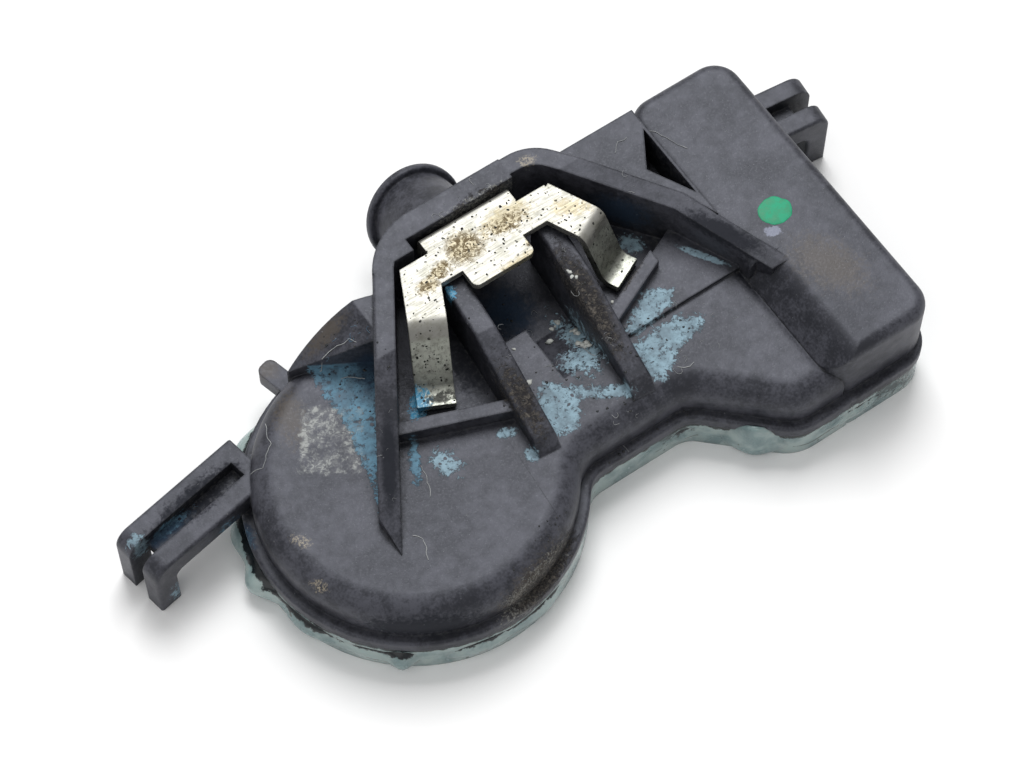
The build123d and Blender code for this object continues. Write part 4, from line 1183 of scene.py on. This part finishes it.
def makeStrandTree():
    ins, outs = geometryTree("lyingHair", {"Radius": "Float", "Sides": "Int", "Finish": "Material"})
    curve = geo("MeshToCurve", {0: ins["Geometry"]})
    profile = geo("CurvePrimitiveCircle", {0: ins["Sides"], 4: ins["Radius"]})
    hair = geo("CurveToMesh", {"Curve": curve, "Profile Curve": profile, "Fill Caps": True})
    hair = geo("SetShadeSmooth", {0: hair})
    return closeTree(outs, hair, ins["Finish"])


hairPaths = addObject("hairPaths", strandPaths())
hairSettings = {
    "Radius": strands["radius"] * mm,
    "Sides": strands["sides"],
    "Finish": finishMaterials["paleFluff"],
}
looseHair = runTree(hairPaths, makeStrandTree(), hairSettings)
dropObject(hairPaths)
addPiece("looseHair", looseHair, "sensor_body")
print("loose hairs:", len(looseHair.polygons), "faces")


def layBits(finish, setting, seed):
    bits, (low, high), patches = setting
    joined = bmesh.new()
    for number, (centre, half, turn, density) in enumerate(patches):
        sheet = addObject("sheet", drapedPatch("sheet", centre, half, turn))
        made = runTree(
            sheet,
            scatterTree,
            {
                "Bits": bits,
                "Density": density / (mm * mm),
                "Smallest": low,
                "Largest": high,
                "Seed": seed + number,
                "Finish": finishMaterials[finish],
            },
        )
        joined.from_mesh(made)
        bpy.data.meshes.remove(made)
        dropObject(sheet)
    mesh = bpy.data.meshes.new(finish)
    joined.to_mesh(mesh)
    joined.free()
    mesh.materials.append(finishMaterials[finish])
    mesh.shade_smooth()
    addPiece(finish, mesh, "sensor_body")
    print(finish, len(mesh.polygons), "faces")


for number, (finish, setting) in enumerate(fluff.items()):
    layBits(finish, setting, 100 + 20 * number)


# dab of green paint on the block; waves are scale, layer and share
dab = {
    "centre": (33.6, 1.35),
    "half": (1.42, 1.32),
    "thick": 0.06,
    "sunk": 0.02,
    "rings": 8,
    "spokes": 64,
    "wobble": 0.07,
    "broadWaves": (1.7, 4.2, 1.6),
    "fineWaves": (5, 1.0, 0.25),
    "ripples": (2.2, 0.5, 0.25),
}


def dabWave(place, name):
    scale, layer, share = dab[name]
    return share * waver(place.x, place.y, scale, layer)


def makeDab():
    middle = Vector(dab["centre"])
    top = surfacePoint(*dab["centre"]).z / mm
    verts, faces = [], []
    spokes, rings = dab["spokes"], dab["rings"]
    for ring in range(1, rings + 1):
        share = ring / rings
        for spoke in range(spokes):
            angle = 2 * math.pi * spoke / spokes
            way = Vector((math.cos(angle), math.sin(angle)))
            reach = 1 + dab["wobble"] * (dabWave(way, "broadWaves") + dabWave(way, "fineWaves"))
            spot = middle + Vector((way.x * dab["half"][0], way.y * dab["half"][1])) * share * reach
            ripple = dabWave(spot, "ripples")
            rise = dab["thick"] * (1 - share**4) * (1 + ripple) - dab["sunk"] * share**8
            verts.append((spot.x * mm, spot.y * mm, (top + rise) * mm))
    verts.append((middle.x * mm, middle.y * mm, (top + dab["thick"]) * mm))
    verts.append((middle.x * mm, middle.y * mm, (top - dab["sunk"]) * mm))
    for spoke in range(spokes):
        after = (spoke + 1) % spokes
        faces.append((len(verts) - 2, spoke, after))
        for ring in range(rings - 1):
            a, b = ring * spokes, (ring + 1) * spokes
            faces.append((a + spoke, b + spoke, b + after, a + after))
        last = (rings - 1) * spokes
        faces.append((len(verts) - 1, last + after, last + spoke))
    mesh = newMesh("paintDab", verts, [], faces)
    mesh.materials.append(finishMaterials["greenPaint"])
    mesh.shade_smooth()
    addPiece("paintDab", mesh, "sensor_body")


makeDab()
print("paint dab done")


# floor, light and camera
stageSet = {
    "floor": 1.2,
    "floorColour": (0.955, 0.955, 0.955),
    "paper": (0.975, 0.975, 0.975),
    "paperNoise": (0.05, 2.0, 0.5),
    "roughness": 0.9,
    "specular": 0.1,
    "ambient": 0.48,
    "aim": (0.012, 0.0, 0.004),
}


def makeStage():
    half = stageSet["floor"]
    corners = [(-half, -half, 0), (half, -half, 0), (half, half, 0), (-half, half, 0)]
    mesh = newMesh("floor", corners, [], [(0, 1, 2, 3)])
    floor = addObject("floor", mesh)
    material, shader, place = newMaterial("paperFloor")
    paper = noiseFac(place, *stageSet["paperNoise"])
    feed(shader, {
        "Base Color": mixColour(paper, stageSet["floorColour"], stageSet["paper"]),
        "Roughness": stageSet["roughness"],
        "Specular IOR Level": stageSet["specular"],
    })
    mesh.materials.append(material)
    world = bpy.data.worlds.new("studio")
    world.use_nodes = True
    scene.world = world
    feed(world.node_tree.nodes["Background"], {0: (1, 1, 1), 1: stageSet["ambient"]})


lamps = {
    "key": {"at": (0.18, 0.27, 0.535), "size": 0.32, "power": 2.9},
    "fill": {"at": (-0.36, -0.08, 0.46), "size": 0.5, "power": 0.5},
}


def makeLamp(name, setting):
    data = bpy.data.lights.new(name, "AREA")
    data.size = setting["size"]
    data.energy = setting["power"]
    lamp = addObject(name, data)
    lamp.location = setting["at"]
    aim = Vector(stageSet["aim"]) - Vector(setting["at"])
    lamp.rotation_mode = "QUATERNION"
    lamp.rotation_quaternion = aim.to_track_quat("-Z", "Y")


shot = {"at": (-54.12, -91.34, 218.92), "azimuth": -34.5, "elevation": 62.0, "lens": 113.9, "sensor": 36.0}


def makeCamera():
    data = bpy.data.cameras.new("camera")
    data.lens = shot["lens"]
    data.sensor_width = shot["sensor"]
    data.clip_start = 0.01
    data.clip_end = 10
    camera = addObject("camera", data)
    camera.location = Vector(shot["at"]) * mm
    turn, rise = math.radians(shot["azimuth"]), math.radians(shot["elevation"])
    back = Vector((math.sin(turn) * math.cos(rise), -math.cos(turn) * math.cos(rise), math.sin(rise)))
    camera.rotation_mode = "QUATERNION"
    camera.rotation_quaternion = (-back).to_track_quat("-Z", "Y")
    scene.camera = camera


makeStage()
for lampName, setting in lamps.items():
    makeLamp(lampName, setting)
makeCamera()
scene.view_settings.view_transform = "Standard"
print("stage, lamps and camera done")
